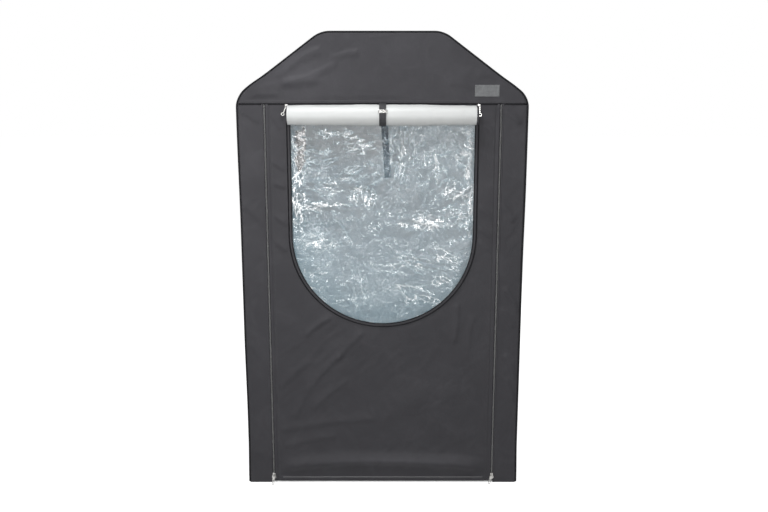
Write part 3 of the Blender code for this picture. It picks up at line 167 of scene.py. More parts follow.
def circle_arc(radius, start, end, count):
    """Points (across, up) along an arc round nought."""
    return [(radius * math.cos(a), radius * math.sin(a)) for a in np.linspace(start, end, count)]


# Outline of the tent, seen from the front


def bend(corner_x, corner_z, first, last, radius):
    """Centre, radius and outward angles of the arc that rounds a corner."""
    middle = (first + last) / 2
    reach = radius / math.cos((last - first) / 2)
    centre = (corner_x - reach * math.cos(middle), corner_z - reach * math.sin(middle))
    return {"centre": centre, "radius": radius, "angles": (first, last)}


SLOPE = math.atan2(HALF_WIDTH - FLAT_TOP_WIDTH / 2, ROOF_RISE)
SHOULDER = bend(HALF_WIDTH, SHOULDER_HEIGHT, 0.0, SLOPE, SHOULDER_BEND_RADIUS)
RIDGE = bend(FLAT_TOP_WIDTH / 2, TOP, SLOPE, math.pi / 2, RIDGE_BEND_RADIUS)


def bend_points(corner, inset, steps=12):
    """Points along one right-hand bend, from its lower end up, with their outward angles."""
    reach = corner["radius"] - inset
    x, z = corner["centre"]
    angles = np.linspace(*corner["angles"], steps + 1)
    return [(x + reach * math.cos(a), z + reach * math.sin(a), a) for a in angles]


def ridge_heights(inset):
    """Heights of the rows of a panel's mesh across the ridge's bend."""
    return [z for _, z, _ in bend_points(RIDGE, inset, 10)]


def half_outline(inset, bottom, step=0.02):
    """Right half of the outline from the floor to the middle of the top, as (x, z, angle)."""
    shoulder, ridge = bend_points(SHOULDER, inset), bend_points(RIDGE, inset)
    points = [(HALF_WIDTH - inset, z, 0.0) for z in spaced(bottom, shoulder[0][1], step)[:-1]]
    count = round(math.dist(shoulder[-1][:2], ridge[0][:2]) / step)
    shares = np.linspace(0, 1, count + 1)[1:-1]
    slope = [tuple(a + (b - a) * share for a, b in zip(shoulder[-1], ridge[0])) for share in shares]
    flat = [(x, TOP - inset, math.pi / 2) for x in spaced(ridge[-1][0], 0.0, step)[1:]]
    return points + shoulder + slope + ridge + flat


def whole_outline(inset, bottom, step=0.02):
    """Outline from the left foot over the top to the right foot."""
    right = half_outline(inset, bottom, step)
    return [(-x, z, math.pi - a) for x, z, a in right[:-1]] + right[::-1]


def half_width(z, inset):
    """Half the tent's width at each height, inset from the outer skin."""
    outline = [(x, height) for x, height, _ in half_outline(inset, 0.0, 0.05) if x > 0]
    rising = [outline[0]]
    for before, after in zip(outline, outline[1:]):
        if after[1] > before[1] + 1e-7:
            rising.append(after)
    widths, heights = zip(*rising)
    return np.interp(z, heights, widths)


def outline_distance(x, z):
    """Distance of points from the nearest straight side of the outline."""
    beyond = HALF_WIDTH - np.abs(x)
    slope = beyond * math.cos(SLOPE) + (SHOULDER_HEIGHT - z) * math.sin(SLOPE)
    return np.minimum(np.minimum(beyond, slope), np.minimum(z, TOP - z))


# How far the cloth hangs out of the plain outline, or in; a pair is for the left and the right
SLOPE_BULGE = (0.0042, 0.0012)
SHOULDER_BULGE = (0.0038, 0.0024)
SHOULDER_BULGE_HEIGHT = 1.742
SHOULDER_BULGE_SPREAD = 0.030
TOP_BULGE = 0.0036
SIDE_DRAW = 0.0032
SIDE_DRAW_TOP = (0.70, 1.35)
SIDE_PUSH = (0.0034, 0.0006)
SIDE_PUSH_HEIGHT = 1.15


def hung(points, share=1.0):
    """Points of the cloth moved out along the slopes and the top, and in beside the door."""
    points = np.array(points, float)
    x, z = points[..., 0], points[..., 2]
    reach, side = np.abs(x), np.where(x < 0, -1, 1)

    def sided(values):
        return np.where(x < 0, *values)

    top_share = smooth((FLAT_TOP_WIDTH / 2 + 0.05 - reach) / 0.10)
    slope_share = (1 - top_share) * smooth((z - SHOULDER_HEIGHT + 0.02) / 0.05)
    away = (HALF_WIDTH - reach) * math.cos(SLOPE) + (SHOULDER_HEIGHT - z) * math.sin(SLOPE)
    near = share * smooth(1 - np.minimum(away, TOP - z) / 0.15)
    shoulder = np.exp(-(((z - SHOULDER_BULGE_HEIGHT) / SHOULDER_BULGE_SPREAD) ** 2))
    bulge = near * slope_share * (sided(SLOPE_BULGE) + sided(SHOULDER_BULGE) * shoulder)
    beside = share * smooth(1 - (HALF_WIDTH - reach) / 0.08)
    push = sided(SIDE_PUSH) * smooth((z - SIDE_PUSH_HEIGHT) / 0.45)
    pull = SIDE_DRAW * smooth(z / 0.2) * smooth((sided(SIDE_DRAW_TOP) - z) / 0.4)
    draw = beside * (pull - push * (1 - slope_share))
    points[..., 0] += side * (bulge * math.cos(SLOPE) - draw)
    points[..., 2] += bulge * math.sin(SLOPE) + near * top_share * TOP_BULGE
    return points


# Meshes


def make_object(name, points, faces, finish, body="tent"):
    """Smooth-shaded mesh object that rides on a body."""
    mesh = bpy.data.meshes.new(name)
    mesh.from_pydata(np.asarray(points, float).reshape(-1, 3).tolist(), [], [list(face) for face in faces])
    mesh.materials.append(finish)
    mesh.shade_smooth()
    mesh.update()
    made = bpy.data.objects.new(name, mesh)
    bpy.context.scene.collection.objects.link(made)
    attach(made, body)
    return made


def shell(name, outer, inward, thickness, finish, body="tent", kept=None):
    """Closed sheet behind a grid of outer points; kept says which cells of the grid are cloth."""
    rows, columns = outer.shape[:2]
    if kept is None:
        kept = np.ones((rows - 1, columns - 1), bool)
    number = np.arange(rows * columns).reshape(rows, columns)
    corners = (number[:-1, :-1], number[:-1, 1:], number[1:, 1:], number[1:, :-1])
    front = np.stack([corner[kept] for corner in corners], 1)
    flat = outer.reshape(-1, 3)
    depth = np.broadcast_to(inward, outer.shape).reshape(-1, 3)
    middle = front[len(front) // 2]
    across = np.cross(flat[middle[1]] - flat[middle[0]], flat[middle[3]] - flat[middle[0]])
    if np.dot(across, depth[middle[0]]) > 0:
        front = front[:, ::-1]
    count = len(flat)
    edges = np.concatenate([front[:, [i, (i + 1) % 4]] for i in range(4)])
    _, first, uses = np.unique(np.sort(edges, 1), axis=0, return_index=True, return_counts=True)
    rim = edges[first[uses == 1]]
    rims = np.stack([rim[:, 1], rim[:, 0], rim[:, 0] + count, rim[:, 1] + count], 1)
    faces = np.concatenate([front, front[:, ::-1] + count, rims])
    points = np.concatenate([flat, flat + depth * thickness])
    used, order = np.unique(faces, return_inverse=True)
    return make_object(name, points[used], order.reshape(faces.shape), finish, body)


def ring_faces(count, sides, closed=False):
    """Faces over rings of points, capped at the ends or joined into a loop."""
    number = np.arange(count * sides).reshape(count, sides)
    before, after = (number, np.roll(number, -1, 0)) if closed else (number[:-1], number[1:])
    quads = np.stack([before, np.roll(before, -1, 1), np.roll(after, -1, 1), after], 2)
    caps = [] if closed else [number[0][::-1].tolist(), number[-1].tolist()]
    return quads.reshape(-1, 4).tolist() + caps


def lengths(path):
    """Length of each step of a path."""
    return np.linalg.norm(np.diff(path, axis=0), axis=1)


def unit(vectors):
    """Vectors made one long."""
    return vectors / np.linalg.norm(vectors, axis=-1)[..., None]


def path_rings(path, normal, profile, closed=False):
    """Rings of a profile of (across, out) points at each point of a path."""
    path = np.asarray(path, float)
    along = np.roll(path, -1, 0) - np.roll(path, 1, 0) if closed else np.gradient(path, axis=0)
    along = unit(along)
    out = np.broadcast_to(np.asarray(normal, float), path.shape)
    out = unit(out - along * np.sum(out * along, 1)[:, None])
    across = np.cross(along, out)
    return np.array([[p + a * u + o * v for u, v in profile] for p, a, o in zip(path, across, out)])


def loft(name, rings, finish, body="tent", closed=False):
    """Skin over a row of rings of points."""
    rings = np.asarray(rings, float)
    return make_object(name, rings, ring_faces(*rings.shape[:2], closed), finish, body)


def swept(name, path, normal, profile, finish, body="tent", closed=False):
    """Profile swept along a path."""
    return loft(name, path_rings(path, normal, profile, closed), finish, body, closed)


def round_profile(radius, sides=12):
    """Profile of a round wire."""
    return circle_arc(radius, 0, 2 * math.pi, sides + 1)[:-1]


def tape_profile(width, thickness, crown=0.0):
    """Profile of a flat tape with rounded edges, lying on its path."""
    middle, edge = (width - thickness) / 2, thickness / 2
    right = circle_arc(edge, -math.pi / 2, math.pi / 2, 5)
    left = circle_arc(edge, math.pi / 2, 3 * math.pi / 2, 5)
    points = [(middle + u, edge + v) for u, v in right] + [(0.0, thickness + crown)]
    return (points + [(u - middle, edge + v) for u, v in left])[::-1]


STITCH_PITCH = 0.0045
STITCH_LENGTH = 0.0032
STITCH_RADIUS = 0.00028
STITCH_LIFT = 0.00012
STITCH_END_SHARE = 0.45
# How far rows of stitches stand off the patches and hems that they hold
SEAM_LIFT = 0.0001


def stitches(name, paths, body="tent", normal=OUTWARD):
    """One piece with a row of lock stitches along each of several paths."""
    points = []
    for path in paths:
        path = np.asarray(path, float)
        reach = np.concatenate([[0], np.cumsum(lengths(path))])
        places = np.arange(STITCH_PITCH / 2, reach[-1] - STITCH_PITCH / 2, STITCH_PITCH)
        start, end = (
            np.stack([np.interp(places + shift, reach, path[:, axis]) for axis in range(3)], 1)
            for shift in (-STITCH_LENGTH / 2, STITCH_LENGTH / 2)
        )
        out = np.broadcast_to(np.asarray(normal, float), start.shape)
        side = unit(np.cross(end - start, out))
        middle = (start + end) / 2 + out * STITCH_LIFT
        rings = []
        for centre, share in ((start, STITCH_END_SHARE), (middle, 1.0), (end, STITCH_END_SHARE)):
            for turn in np.arange(4) * math.pi / 2:
                rings.append(centre + (side * math.cos(turn) + out * math.sin(turn)) * STITCH_RADIUS * share)
        points.append(np.stack(rings, 1).reshape(-1, 3))
    points = np.concatenate(points)
    one = np.array(ring_faces(3, 4))
    faces = one[None] + 12 * np.arange(len(points) // 12)[:, None, None]
    return make_object(name, points, faces.reshape(-1, 4), THREAD, body)


# Materials


def add(tree, kind, *sources, **values):
    """Node of a kind. Sources feed its inputs in turn, and a value the input or property of its name."""
    node = tree.nodes.new(kind)
    inputs = dict(enumerate(sources))
    for name, value in values.items():
        place = node.inputs.find(name.replace("_", " "))
        if place < 0:
            setattr(node, name, value)
        else:
            inputs[place] = value
    for place, value in inputs.items():
        if isinstance(value, bpy.types.NodeSocket):
            tree.links.new(value, node.inputs[place])
        else:
            node.inputs[place].default_value = value
    return node


def new_material(name, roughness, metallic=0.0, specular=0.5):
    """Material with its node tree and its shader."""
    made = bpy.data.materials.new(name)
    made.use_nodes = True
    shader = made.node_tree.nodes["Principled BSDF"]
    shader.inputs["Roughness"].default_value = roughness
    shader.inputs["Metallic"].default_value = metallic
    shader.inputs["Specular IOR Level"].default_value = specular
    return made, made.node_tree, shader


def texture_place(tree, scale=(1, 1, 1)):
    """Object coordinates, scaled."""
    place = add(tree, "ShaderNodeTexCoord")
    return add(tree, "ShaderNodeMapping", place.outputs["Object"], Scale=scale).outputs["Vector"]


def noise_texture(tree, place, scale, detail=2.0, roughness=0.5, distortion=0.0):
    """Noise whose height is its factor."""
    values = {"Scale": scale, "Detail": detail, "Roughness": roughness, "Distortion": distortion}
    return add(tree, "ShaderNodeTexNoise", place, **values).outputs["Fac"]


def bands(tree, place, period, direction):
    """Bands across one direction, one per period in metres."""
    scale = 2 * math.pi / (20 * period)
    values = {"bands_direction": direction, "wave_profile": "SIN"}
    return add(tree, "ShaderNodeTexWave", place, Scale=scale, **values).outputs["Fac"]


def maths(tree, operation, result, *others):
    """Result of an operation on sockets or numbers, taken in turn."""
    for other in others:
        result = add(tree, "ShaderNodeMath", result, other, operation=operation).outputs[0]
    return result


def scaled(tree, colour, factor):
    """Colour socket made lighter or darker by a factor's socket."""
    return add(tree, "ShaderNodeVectorMath", colour, factor, operation="MULTIPLY").outputs["Vector"]


def ramp(tree, factor, *stops):
    """Colours or greys placed along a factor, as (place, colour) stops."""
    node = add(tree, "ShaderNodeValToRGB", factor)
    items = node.color_ramp.elements
    while len(items) < len(stops):
        items.new(0.5)
    for item, (place, colour) in zip(items, stops):
        item.position = place
        item.color = (*colour, 1.0) if isinstance(colour, tuple) else (colour, colour, colour, 1.0)
    return node.outputs["Color"]


def tinted(colour, dark, light, first=0.3, last=0.7):
    """Stops of a ramp from a colour made darker to the colour made lighter."""
    return [(place, tuple(c * share for c in colour)) for place, share in ((first, dark), (last, light))]


def bumped(tree, shader, *heights):
    """Chain of bumps on a shader, each given as (socket, distance in metres)."""
    last = {}
    for height, distance in heights:
        node = add(tree, "ShaderNodeBump", Height=height, Distance=distance, Strength=1.0, **last)
        last = {"Normal": node.outputs["Normal"]}
    tree.links.new(last["Normal"], shader.inputs["Normal"])


def weave(tree, period):
    """Plain weave on any of the three main planes."""
    place = texture_place(tree)
    return maths(tree, "ADD", *[bands(tree, place, period, axis) for axis in "XYZ"])


def wandering(tree, place, scale, reach):
    """Coordinates that wander off by a share of a noise."""
    noise = add(tree, "ShaderNodeTexNoise", place, Scale=scale, Detail=4.0, Roughness=0.62)
    inputs = (noise.outputs["Color"], (reach, reach, reach), place)
    return add(tree, "ShaderNodeVectorMath", *inputs, operation="MULTIPLY_ADD").outputs["Vector"]


def soft_spot(tree, place, x, z, width, height, strength):
    """Soft oval seen from the front, strongest at its middle, placed in millimetres."""
    x, z, width, height = (value * MILLIMETRE for value in (x, z, width, height))
    values = {"vector_type": "TEXTURE", "Location": (x, 0.0, z), "Scale": (width, 100.0, height)}
    oval = add(tree, "ShaderNodeMapping", place, **values).outputs["Vector"]
    spot = add(tree, "ShaderNodeTexGradient", oval, gradient_type="SPHERICAL")
    return maths(tree, "MULTIPLY", spot.outputs["Fac"], strength)


# Soft spots are rows of x, z, half width and half height in millimetres, and a strength.
# These are painted highlights where the grey cloth is made lighter: a broad sheen on the gable's left and the
# highlight along the swell above the door's hem
CLOTH_PAINTED_SHEEN = ((-340, 1800, 240, 130, 0.32), (60, 112, 460, 34, 0.36))


def cloth_finish(name, slot, colour, roughness, mottle, period, crease, specular, sheen_spots=()):
    """Coated woven cloth with a fine weave, faint creases and uneven colour, lighter where painted sheen and
    highlights lie.
    """
    made, tree, shader = new_material(name, roughness, specular=specular)
    place = texture_place(tree)
    patches = noise_texture(tree, place, 5.0, 4.0, 0.6, 0.6)
    tint = ramp(tree, patches, *tinted(colour, 1 - mottle, 1 + mottle, 0.30, 0.72))
    if sheen_spots:
        # Painted sheen: lighter patches from a noise, plus the painted highlights of the soft spots
        share = ramp(tree, noise_texture(tree, place, 9.0, 4.0, 0.6, 0.8), (0.50, 0.0), (0.78, 0.16))
        share = maths(tree, "ADD", share, *[soft_spot(tree, place, *sheen_spot) for sheen_spot in sheen_spots], 1.0)
        tint = scaled(tree, tint, share)
    tree.links.new(tint, shader.inputs["Base Color"])
    rough = ramp(tree, patches, (0.25, roughness + 0.05), (0.75, roughness - 0.05))
    tree.links.new(rough, shader.inputs["Roughness"])
    folds = noise_texture(tree, place, 26.0, 3.0, 0.55, 1.2)
    bumped(tree, shader, (folds, crease), (weave(tree, period), period * 0.05))
    return made


GREY_CLOTH, DARK_TAPE, WHITE_LINING, COVER_LINING_SHADED = (
    cloth_finish(*values)
    for values in (
        ("grey_cloth", "grey_cloth", (0.059, 0.058, 0.064), 0.46, 0.06, 0.0009, 0.0011, 0.10, CLOTH_PAINTED_SHEEN),
        ("dark_tape", "dark_trim", (0.013, 0.013, 0.015), 0.62, 0.06, 0.0006, 0.0002, 0.12),
        ("white_lining", "white_lining", (0.86, 0.87, 0.87), 0.42, 0.012, 0.0009, 0.0008, 0.3),
        # The cover lining is a darker copy of the white lining: its lower tone is painted shade that keeps
        # the brightly lit roll from washing out
        ("cover_lining", "white_lining", (0.725, 0.740, 0.735), 0.36, 0.010, 0.0010, 0.0006, 0.4),
    )
)


def plain_finish(name, slot, roughness, specular, pattern, stops, relief, distance):
    """Finish tinted along one pattern, with one relief; each is a noise's values or draws itself."""
    made, tree, shader = new_material(name, roughness, specular=specular)
    place = texture_place(tree)
    drawn = []
    for item in (pattern, relief):
        drawn.append(item(tree, place) if callable(item) else noise_texture(tree, place, *item))
    tree.links.new(ramp(tree, drawn[0], *stops), shader.inputs["Base Color"])
    bumped(tree, shader, (drawn[1], distance))
    return made


def ribs(tree, place):
    """Ribs of webbing, crossed by its picks."""
    return maths(tree, "MULTIPLY", bands(tree, place, 0.0022, "X"), bands(tree, place, 0.0012, "Z"))


def wires(tree, place):
    """Crossed threads of a net."""
    return maths(tree, "MAXIMUM", *[bands(tree, place, 0.0016, axis) for axis in "XZ"])


def patch_weave(tree, place):
    """Weave of the label patch."""
    return weave(tree, 0.0007)


# Noises of finishes: size, detail and roughness; then their tints
PAINT_PATCHES = (30.0, 4.0, 0.6)
PAINT_GRAIN = (1400.0, 2.0)
FIBRES = (900.0, 2.0)
WEBBING_TINT = tinted((0.050, 0.050, 0.054), 0.7, 1.35, 0.35, 0.65)
THREAD_TINT = ((0.3, 0.085), (0.7, 0.125))
# The zip's coil is dark trim; its light grey tint is a painted highlight along the coil
COIL_HIGHLIGHT_TINT = ((0.3, 0.280), (0.7, 0.370))
NET_TINT = ((0.55, 0.004), (0.85, 0.028))
LABEL_TINT = ((0.3, (0.15, 0.155, 0.16)), (0.7, (0.20, 0.205, 0.21)))
WEBBING, THREAD, ZIP_COIL_HIGHLIGHTED, NET, LABEL_CLOTH = (
    plain_finish(*values)
    for values in (
        ("webbing", "webbing", 0.62, 0.3, (160.0, 3.0, 0.7), WEBBING_TINT, ribs, 0.0003),
        ("sewing_thread", "dark_trim", 0.55, 0.3, FIBRES, THREAD_TINT, FIBRES, 0.0001),
        ("zip_coil", "dark_trim", 0.28, 0.6, (40.0, 3.0), COIL_HIGHLIGHT_TINT, FIBRES, 0.00008),
        ("net", "net", 0.6, 0.3, wires, NET_TINT, wires, 0.0002),
        ("label_cloth", "grey_cloth", 0.5, 0.3, (90.0, 3.0), LABEL_TINT, patch_weave, 0.00006),
    )
)
FRAME_PAINT, CONNECTOR, HEM_WELT_HIGHLIGHTED = (
    plain_finish(name, slot, rough, 0.5, PAINT_PATCHES, tinted(colour, 0.93, 1.05), PAINT_GRAIN, grain)
    for name, slot, colour, rough, grain in (
        ("frame_paint", "frame_steel", (0.72, 0.72, 0.71), 0.34, 0.00005),
        ("connector_plastic", "connector_plastic", (0.020, 0.020, 0.021), 0.46, 0.00012),
        # The hem's welt is dark trim; its lighter grey is a painted highlight along the hem's top edge
        ("hem_welt", "dark_trim", (0.17, 0.17, 0.175), 0.30, 0.0001),
    )
)


def metal_finish(name, colour, roughness, scratch):
    """Plated metal with fine scratches and duller patches."""
    made, tree, shader = new_material(name, roughness, metallic=1.0)
    lines = noise_texture(tree, texture_place(tree, (1, 1, 0.15)), 700.0, 4.0, 0.7)
    patches = noise_texture(tree, texture_place(tree), 60.0, 3.0)
    tint = ramp(tree, patches, *tinted(colour, 0.45, 1.0, 0.36, 0.62))
    tree.links.new(tint, shader.inputs["Base Color"])
    rough = ramp(tree, patches, (0.3, roughness + 0.10), (0.7, roughness - 0.06))
    tree.links.new(rough, shader.inputs["Roughness"])
    bumped(tree, shader, (lines, scratch))
    return made


NICKEL = metal_finish("nickel", (0.48, 0.475, 0.46), 0.24, 0.00006)


# Creases of the film, painted white as glints: rise in degrees, stretch, size and the soft spots where they
# lie
FILM_CREASES = (
    (12, 2.6, 30.0, (
        (-140, 1535, 150, 34, 0.7), (-97, 1492, 75, 28, 1), (-270, 1470, 110, 80, 0.35),
        (290, 1205, 80, 60, 0.75), (-50, 1400, 200, 60, 0.3),
    )),
    (38, 2.8, 26.0, (
        (300, 1315, 110, 60, 0.9), (330, 1230, 60, 90, 0.6), (230, 1440, 120, 60, 0.3),
    )),
    (0, 2.4, 32.0, (
        (-180, 1332, 170, 50, 1), (-243, 1250, 130, 30, 1.1), (165, 1182, 115, 42, 2),
        (-200, 1560, 100, 20, 0.5), (-278, 1098, 80, 60, 0.5), (70, 990, 60, 30, 0.7),
    )),
    (-48, 2.6, 26.0, (
        (338, 1515, 60, 110, 1.1), (-345, 1480, 40, 130, 1.1), (-220, 1130, 100, 80, 0.35),
    )),
    (-20, 3.0, 22.0, (
        (210, 1030, 150, 60, 0.8), (180, 900, 180, 110, 0.5), (260, 960, 80, 60, 0.6),
        (-300, 880, 100, 70, 0.3),
    )),
    (86, 2.4, 30.0, (
        (80, 1480, 100, 150, 0.55), (-85, 1275, 80, 50, 0.9), (-358, 1330, 45, 260, 1.2),
        (365, 1330, 35, 250, 0.8), (200, 1430, 110, 150, 0.35), (-100, 900, 80, 120, 0.22),
    )),
)
FILM_CREASE_WIDTH = 0.0014
FILM_CREASE_GAIN = 2.4
# Milky haze of the film, as soft spots: thicker towards the bottom and at the left; the negative spot at the
# upper left is painted shade under the roll
FILM_HAZE_AND_SHADE = (
    (0, 700, 750, 620, 0.17), (-340, 980, 180, 300, 0.13),
    (200, 1500, 170, 300, 0.03), (-170, 1620, 380, 240, -0.14),
)
# Painted shade and dark reflection in the pleat at the film's left edge, as a soft spot
FILM_PLEAT_SHADE = (-343, 1505, 34, 150, 2.6)
FILM_PLEAT_SHADE_ALPHA = 0.60
FILM_PLEAT_SHADE_DEPTH = 0.97
# Hues of the film along its haze and painted glints, running to white where the glints are
FILM_HUES = (
    (0.05, (0.05, 0.26, 0.42)), (0.22, (0.24, 0.49, 0.64)),
    (0.40, (0.58, 0.77, 0.85)), (0.70, (0.93, 0.97, 0.99)),
)
FILM_IOR = 2.1
# Share of the film's cloudiness that light paths other than the camera's meet
FILM_UNSEEN_SHARE = 0.4


def crease_lines(tree, place, rise, stretch, scale):
    """Broken straight-sided creases that run along one direction."""
    turn = (0.0, -math.radians(rise), 0.0)
    values = {"vector_type": "TEXTURE", "Scale": (stretch, 1.0, 1.0), "Rotation": turn}
    turned = add(tree, "ShaderNodeMapping", place, **values).outputs["Vector"]
    bent = wandering(tree, turned, scale * 0.7, 0.9 / scale)
    edges = []
    for finer, strength in ((1.0, 1.0), (2.1, 0.7)):
        cells = add(tree, "ShaderNodeTexVoronoi", bent, feature="DISTANCE_TO_EDGE", Scale=scale * finer)
        width = FILM_CREASE_WIDTH * scale * (finer + 1) / 2
        edges.append(ramp(tree, cells.outputs["Distance"], (width * 0.55, strength), (width, 0.0)))
    parts = ramp(tree, noise_texture(tree, bent, scale * 1.3, 3.0, 0.6), (0.44, 0.0), (0.60, 1.0))
    return maths(tree, "MULTIPLY", maths(tree, "MAXIMUM", *edges), parts)


def film_painted_glints(tree, place, clouds):
    """Painted glints: white along the film's creases, mostly standing for reflections and partly stress
    whitening, with white specks where it is cloudy and towards its top.
    """
    glints = []
    for *direction, clusters in FILM_CREASES:
        lines = crease_lines(tree, place, *direction)
        share = maths(tree, "MAXIMUM", *[soft_spot(tree, place, *cluster) for cluster in clusters])
        glints.append(maths(tree, "MULTIPLY", lines, maths(tree, "MULTIPLY", share, FILM_CREASE_GAIN)))
    glint_specks = ramp(tree, noise_texture(tree, place, 150.0, 2.0, 0.6), (0.57, 0.0), (0.66, 0.50))
    gathered = ramp(tree, clouds, (0.42, 0.15), (0.62, 1.0))
    height = add(tree, "ShaderNodeSeparateXYZ", place).outputs["Z"]
    upper = ramp(tree, height, (0.80, 0.35), (1.0, 1.0))
    glint_specks = maths(tree, "MULTIPLY", glint_specks, gathered, upper)
    return maths(tree, "ADD", maths(tree, "MAXIMUM", *glints), glint_specks)


def film_finish():
    """Clear vinyl: a thin blue-grey haze, painted glints in white along its creases, painted shade under the
    roll and in the pleat at its left edge, under a bright gloss.
    """
    made, tree, shader = new_material("clear_film", 0.16, specular=0.9)
    shader.inputs["IOR"].default_value = FILM_IOR
    place = texture_place(tree)
    clouds = noise_texture(tree, place, 16.0, 5.0, 0.62, 1.2)
    glints = film_painted_glints(tree, place, clouds)
    haze = ramp(tree, clouds, (0.30, 0.05), (0.72, 0.13))
    haze = maths(tree, "ADD", haze, *[soft_spot(tree, place, *spot) for spot in FILM_HAZE_AND_SHADE])
    folded = noise_texture(tree, wandering(tree, place, 24.0, 0.05), 34.0, 3.0, 0.6)
    folded = ramp(tree, folded, (0.44, 0.0), (0.52, 1.0))
    pleat_shade = maths(tree, "MULTIPLY", folded, soft_spot(tree, place, *FILM_PLEAT_SHADE))
    pleat_shade = ramp(tree, pleat_shade, (0.30, 0.0), (0.75, 1.0))
    whole = maths(tree, "ADD", glints, haze)
    # Painted shade: the film is darkened in its pleat
    light = maths(tree, "SUBTRACT", 1.0, maths(tree, "MULTIPLY", pleat_shade, FILM_PLEAT_SHADE_DEPTH))
    tree.links.new(scaled(tree, ramp(tree, whole, *FILM_HUES), light), shader.inputs["Base Color"])
    cloud = ramp(tree, whole, (0.0, 0.05), (1.0, 0.86))
    cloud = maths(tree, "MAXIMUM", cloud, maths(tree, "MULTIPLY", pleat_shade, FILM_PLEAT_SHADE_ALPHA))
    camera_ray = add(tree, "ShaderNodeLightPath").outputs["Is Camera Ray"]
    seen = maths(tree, "ADD", maths(tree, "MULTIPLY", camera_ray, 1 - FILM_UNSEEN_SHARE), FILM_UNSEEN_SHARE)
    tree.links.new(maths(tree, "MULTIPLY", cloud, seen), shader.inputs["Alpha"])
    heights = []
    for scale, distance in ((30.0, 0.006), (78.0, 0.0020)):
        bent = noise_texture(tree, place, scale, 2.0, 0.5, 1.4)
        heights.append((maths(tree, "ABSOLUTE", maths(tree, "SUBTRACT", bent, 0.5), 0.0), distance))
    heights.append((noise_texture(tree, place, 170.0, 2.0, 0.5, 0.8), 0.0006))
    bumped(tree, shader, *heights)
    return made


CLEAR_FILM = film_finish()


# Folds of the cloth


def fold(x, z, row, lean):
    """Outward ridge from one point to another, a little bowed, steeper on its lower side unless it leans."""
    from_x, from_z, to_x, to_z, width, height, bow = (value * MILLIMETRE for value in row)
    length = math.hypot(to_x - from_x, to_z - from_z)
    unit_x, unit_z = (to_x - from_x) / length, (to_z - from_z) / length
    place = ((x - from_x) * unit_x + (z - from_z) * unit_z) / length
    held = np.clip(place, 0.0, 1.0)
    aside = (z - from_z) * unit_x - (x - from_x) * unit_z - bow * 4 * held * (1 - held)
    beyond = (place - held) * length
    side_width = width * np.where(aside > 0, 1.25 - lean, 0.7 + 1.6 * lean)
    return height * np.exp(-((aside / side_width) ** 2) - (beyond / width) ** 2)


FOLD_GAIN = 1.55


def folds(x, z, rows, lean=0.0):
    """Sum of several folds."""
    return sum((FOLD_GAIN * fold(x, z, row, lean) for row in rows), np.zeros_like(x))


# Each fold goes from x, z to x, z, and has a width, a height and a bow, all in millimetres
GABLE_FOLDS = (
    (-420, 1790, -270, 1885, 16, 5, 10), (-400, 1762, -200, 1835, 14, 4.5, -10),
    (-520, 1722, -280, 1775, 16, 3.6, 8), (-360, 1745, -240, 1770, 12, 1.4, 4),
    (-560, 1697, -440, 1712, 12, 3, 3), (-200, 1862, -110, 1880, 12, 4, 4),
    (-300, 1690, 50, 1700, 20, 1.8, 6), (280, 1905, 370, 1880, 14, 3, 4), (400, 1800, 500, 1775, 13, 3.5, 6),
    (280, 1765, 380, 1745, 14, 2.2, 4), (-50, 1940, 30, 1948, 8, 2.2, 2), (20, 1830, 200, 1800, 30, 2, 10),
)
DOOR_FOLDS = (
    (-330, 690, -235, 760, 12, 4, 4), (-385, 320, -195, 585, 18, 3.4, 20), (-190, 585, -95, 690, 14, 3.2, 4),
    (-300, 355, -165, 470, 14, 2.8, 6), (-445, 452, -325, 560, 18, 2.6, 6), (312, 665, 322, 810, 14, 3.4, -4),
    (375, 640, 392, 760, 14, 2.2, 6), (-445, 250, -48, 303, 18, 3, 6), (-420, 176, -225, 218, 16, 2.8, 4),
    (40, 330, 300, 420, 50, 3, 20), (-466, 1630, -425, 1580, 9, 3, 2), (-470, 1440, -415, 1405, 10, 2.8, 2),
    (-470, 1350, -410, 1328, 10, 3, 2), (-466, 1215, -412, 1175, 12, 3.4, 3),
    (-466, 1100, -414, 1065, 12, 3, 3), (420, 1590, 468, 1540, 11, 2.6, 2),
    (414, 1240, 466, 1190, 12, 2.8, 2), (414, 1150, 468, 1105, 11, 2.6, 2),
    (412, 1095, 466, 1050, 12, 2.6, 2),
)
LEFT_STRIP_FOLDS = (
    (-575, 1640, -520, 1605, 11, 2.8, 3), (-580, 1250, -510, 1180, 18, 1.8, 4),
    (-575, 640, -515, 560, 18, 1.8, 4), (-560, 145, -525, 80, 14, 2, 2),
)
RIGHT_STRIP_FOLDS = (
    (500, 1645, 560, 1600, 12, 3, 3), (505, 1250, 545, 1195, 12, 3, 2), (530, 885, 580, 800, 12, 3.6, 3),
    (520, 790, 560, 730, 14, 2.6, 3), (535, 585, 578, 500, 12, 3.8, 3), (545, 480, 575, 400, 12, 3, -2),
)
FILM_FOLDS = (
    (-345, 1595, -340, 1400, 14, -8, 4), (-368, 1560, -320, 1530, 6, 3, 0),
    (-368, 1525, -315, 1490, 6, 3.2, 0), (-366, 1480, -318, 1455, 6, 3, 0), (300, 1555, 362, 1505, 8, 3.4, 3),
    (290, 1520, 350, 1470, 8, 3, 3), (285, 1475, 340, 1435, 8, 2.8, 3), (100, 1035, 280, 1000, 7, 3.4, 2),
    (110, 1015, 270, 975, 6, 3, -2), (-310, 1350, -80, 1330, 10, 3.6, 6), (-300, 1260, -160, 1235, 9, 3, 4),
    (90, 1205, 240, 1165, 10, 3.4, -4), (210, 1370, 350, 1290, 11, 3.6, 6),
)

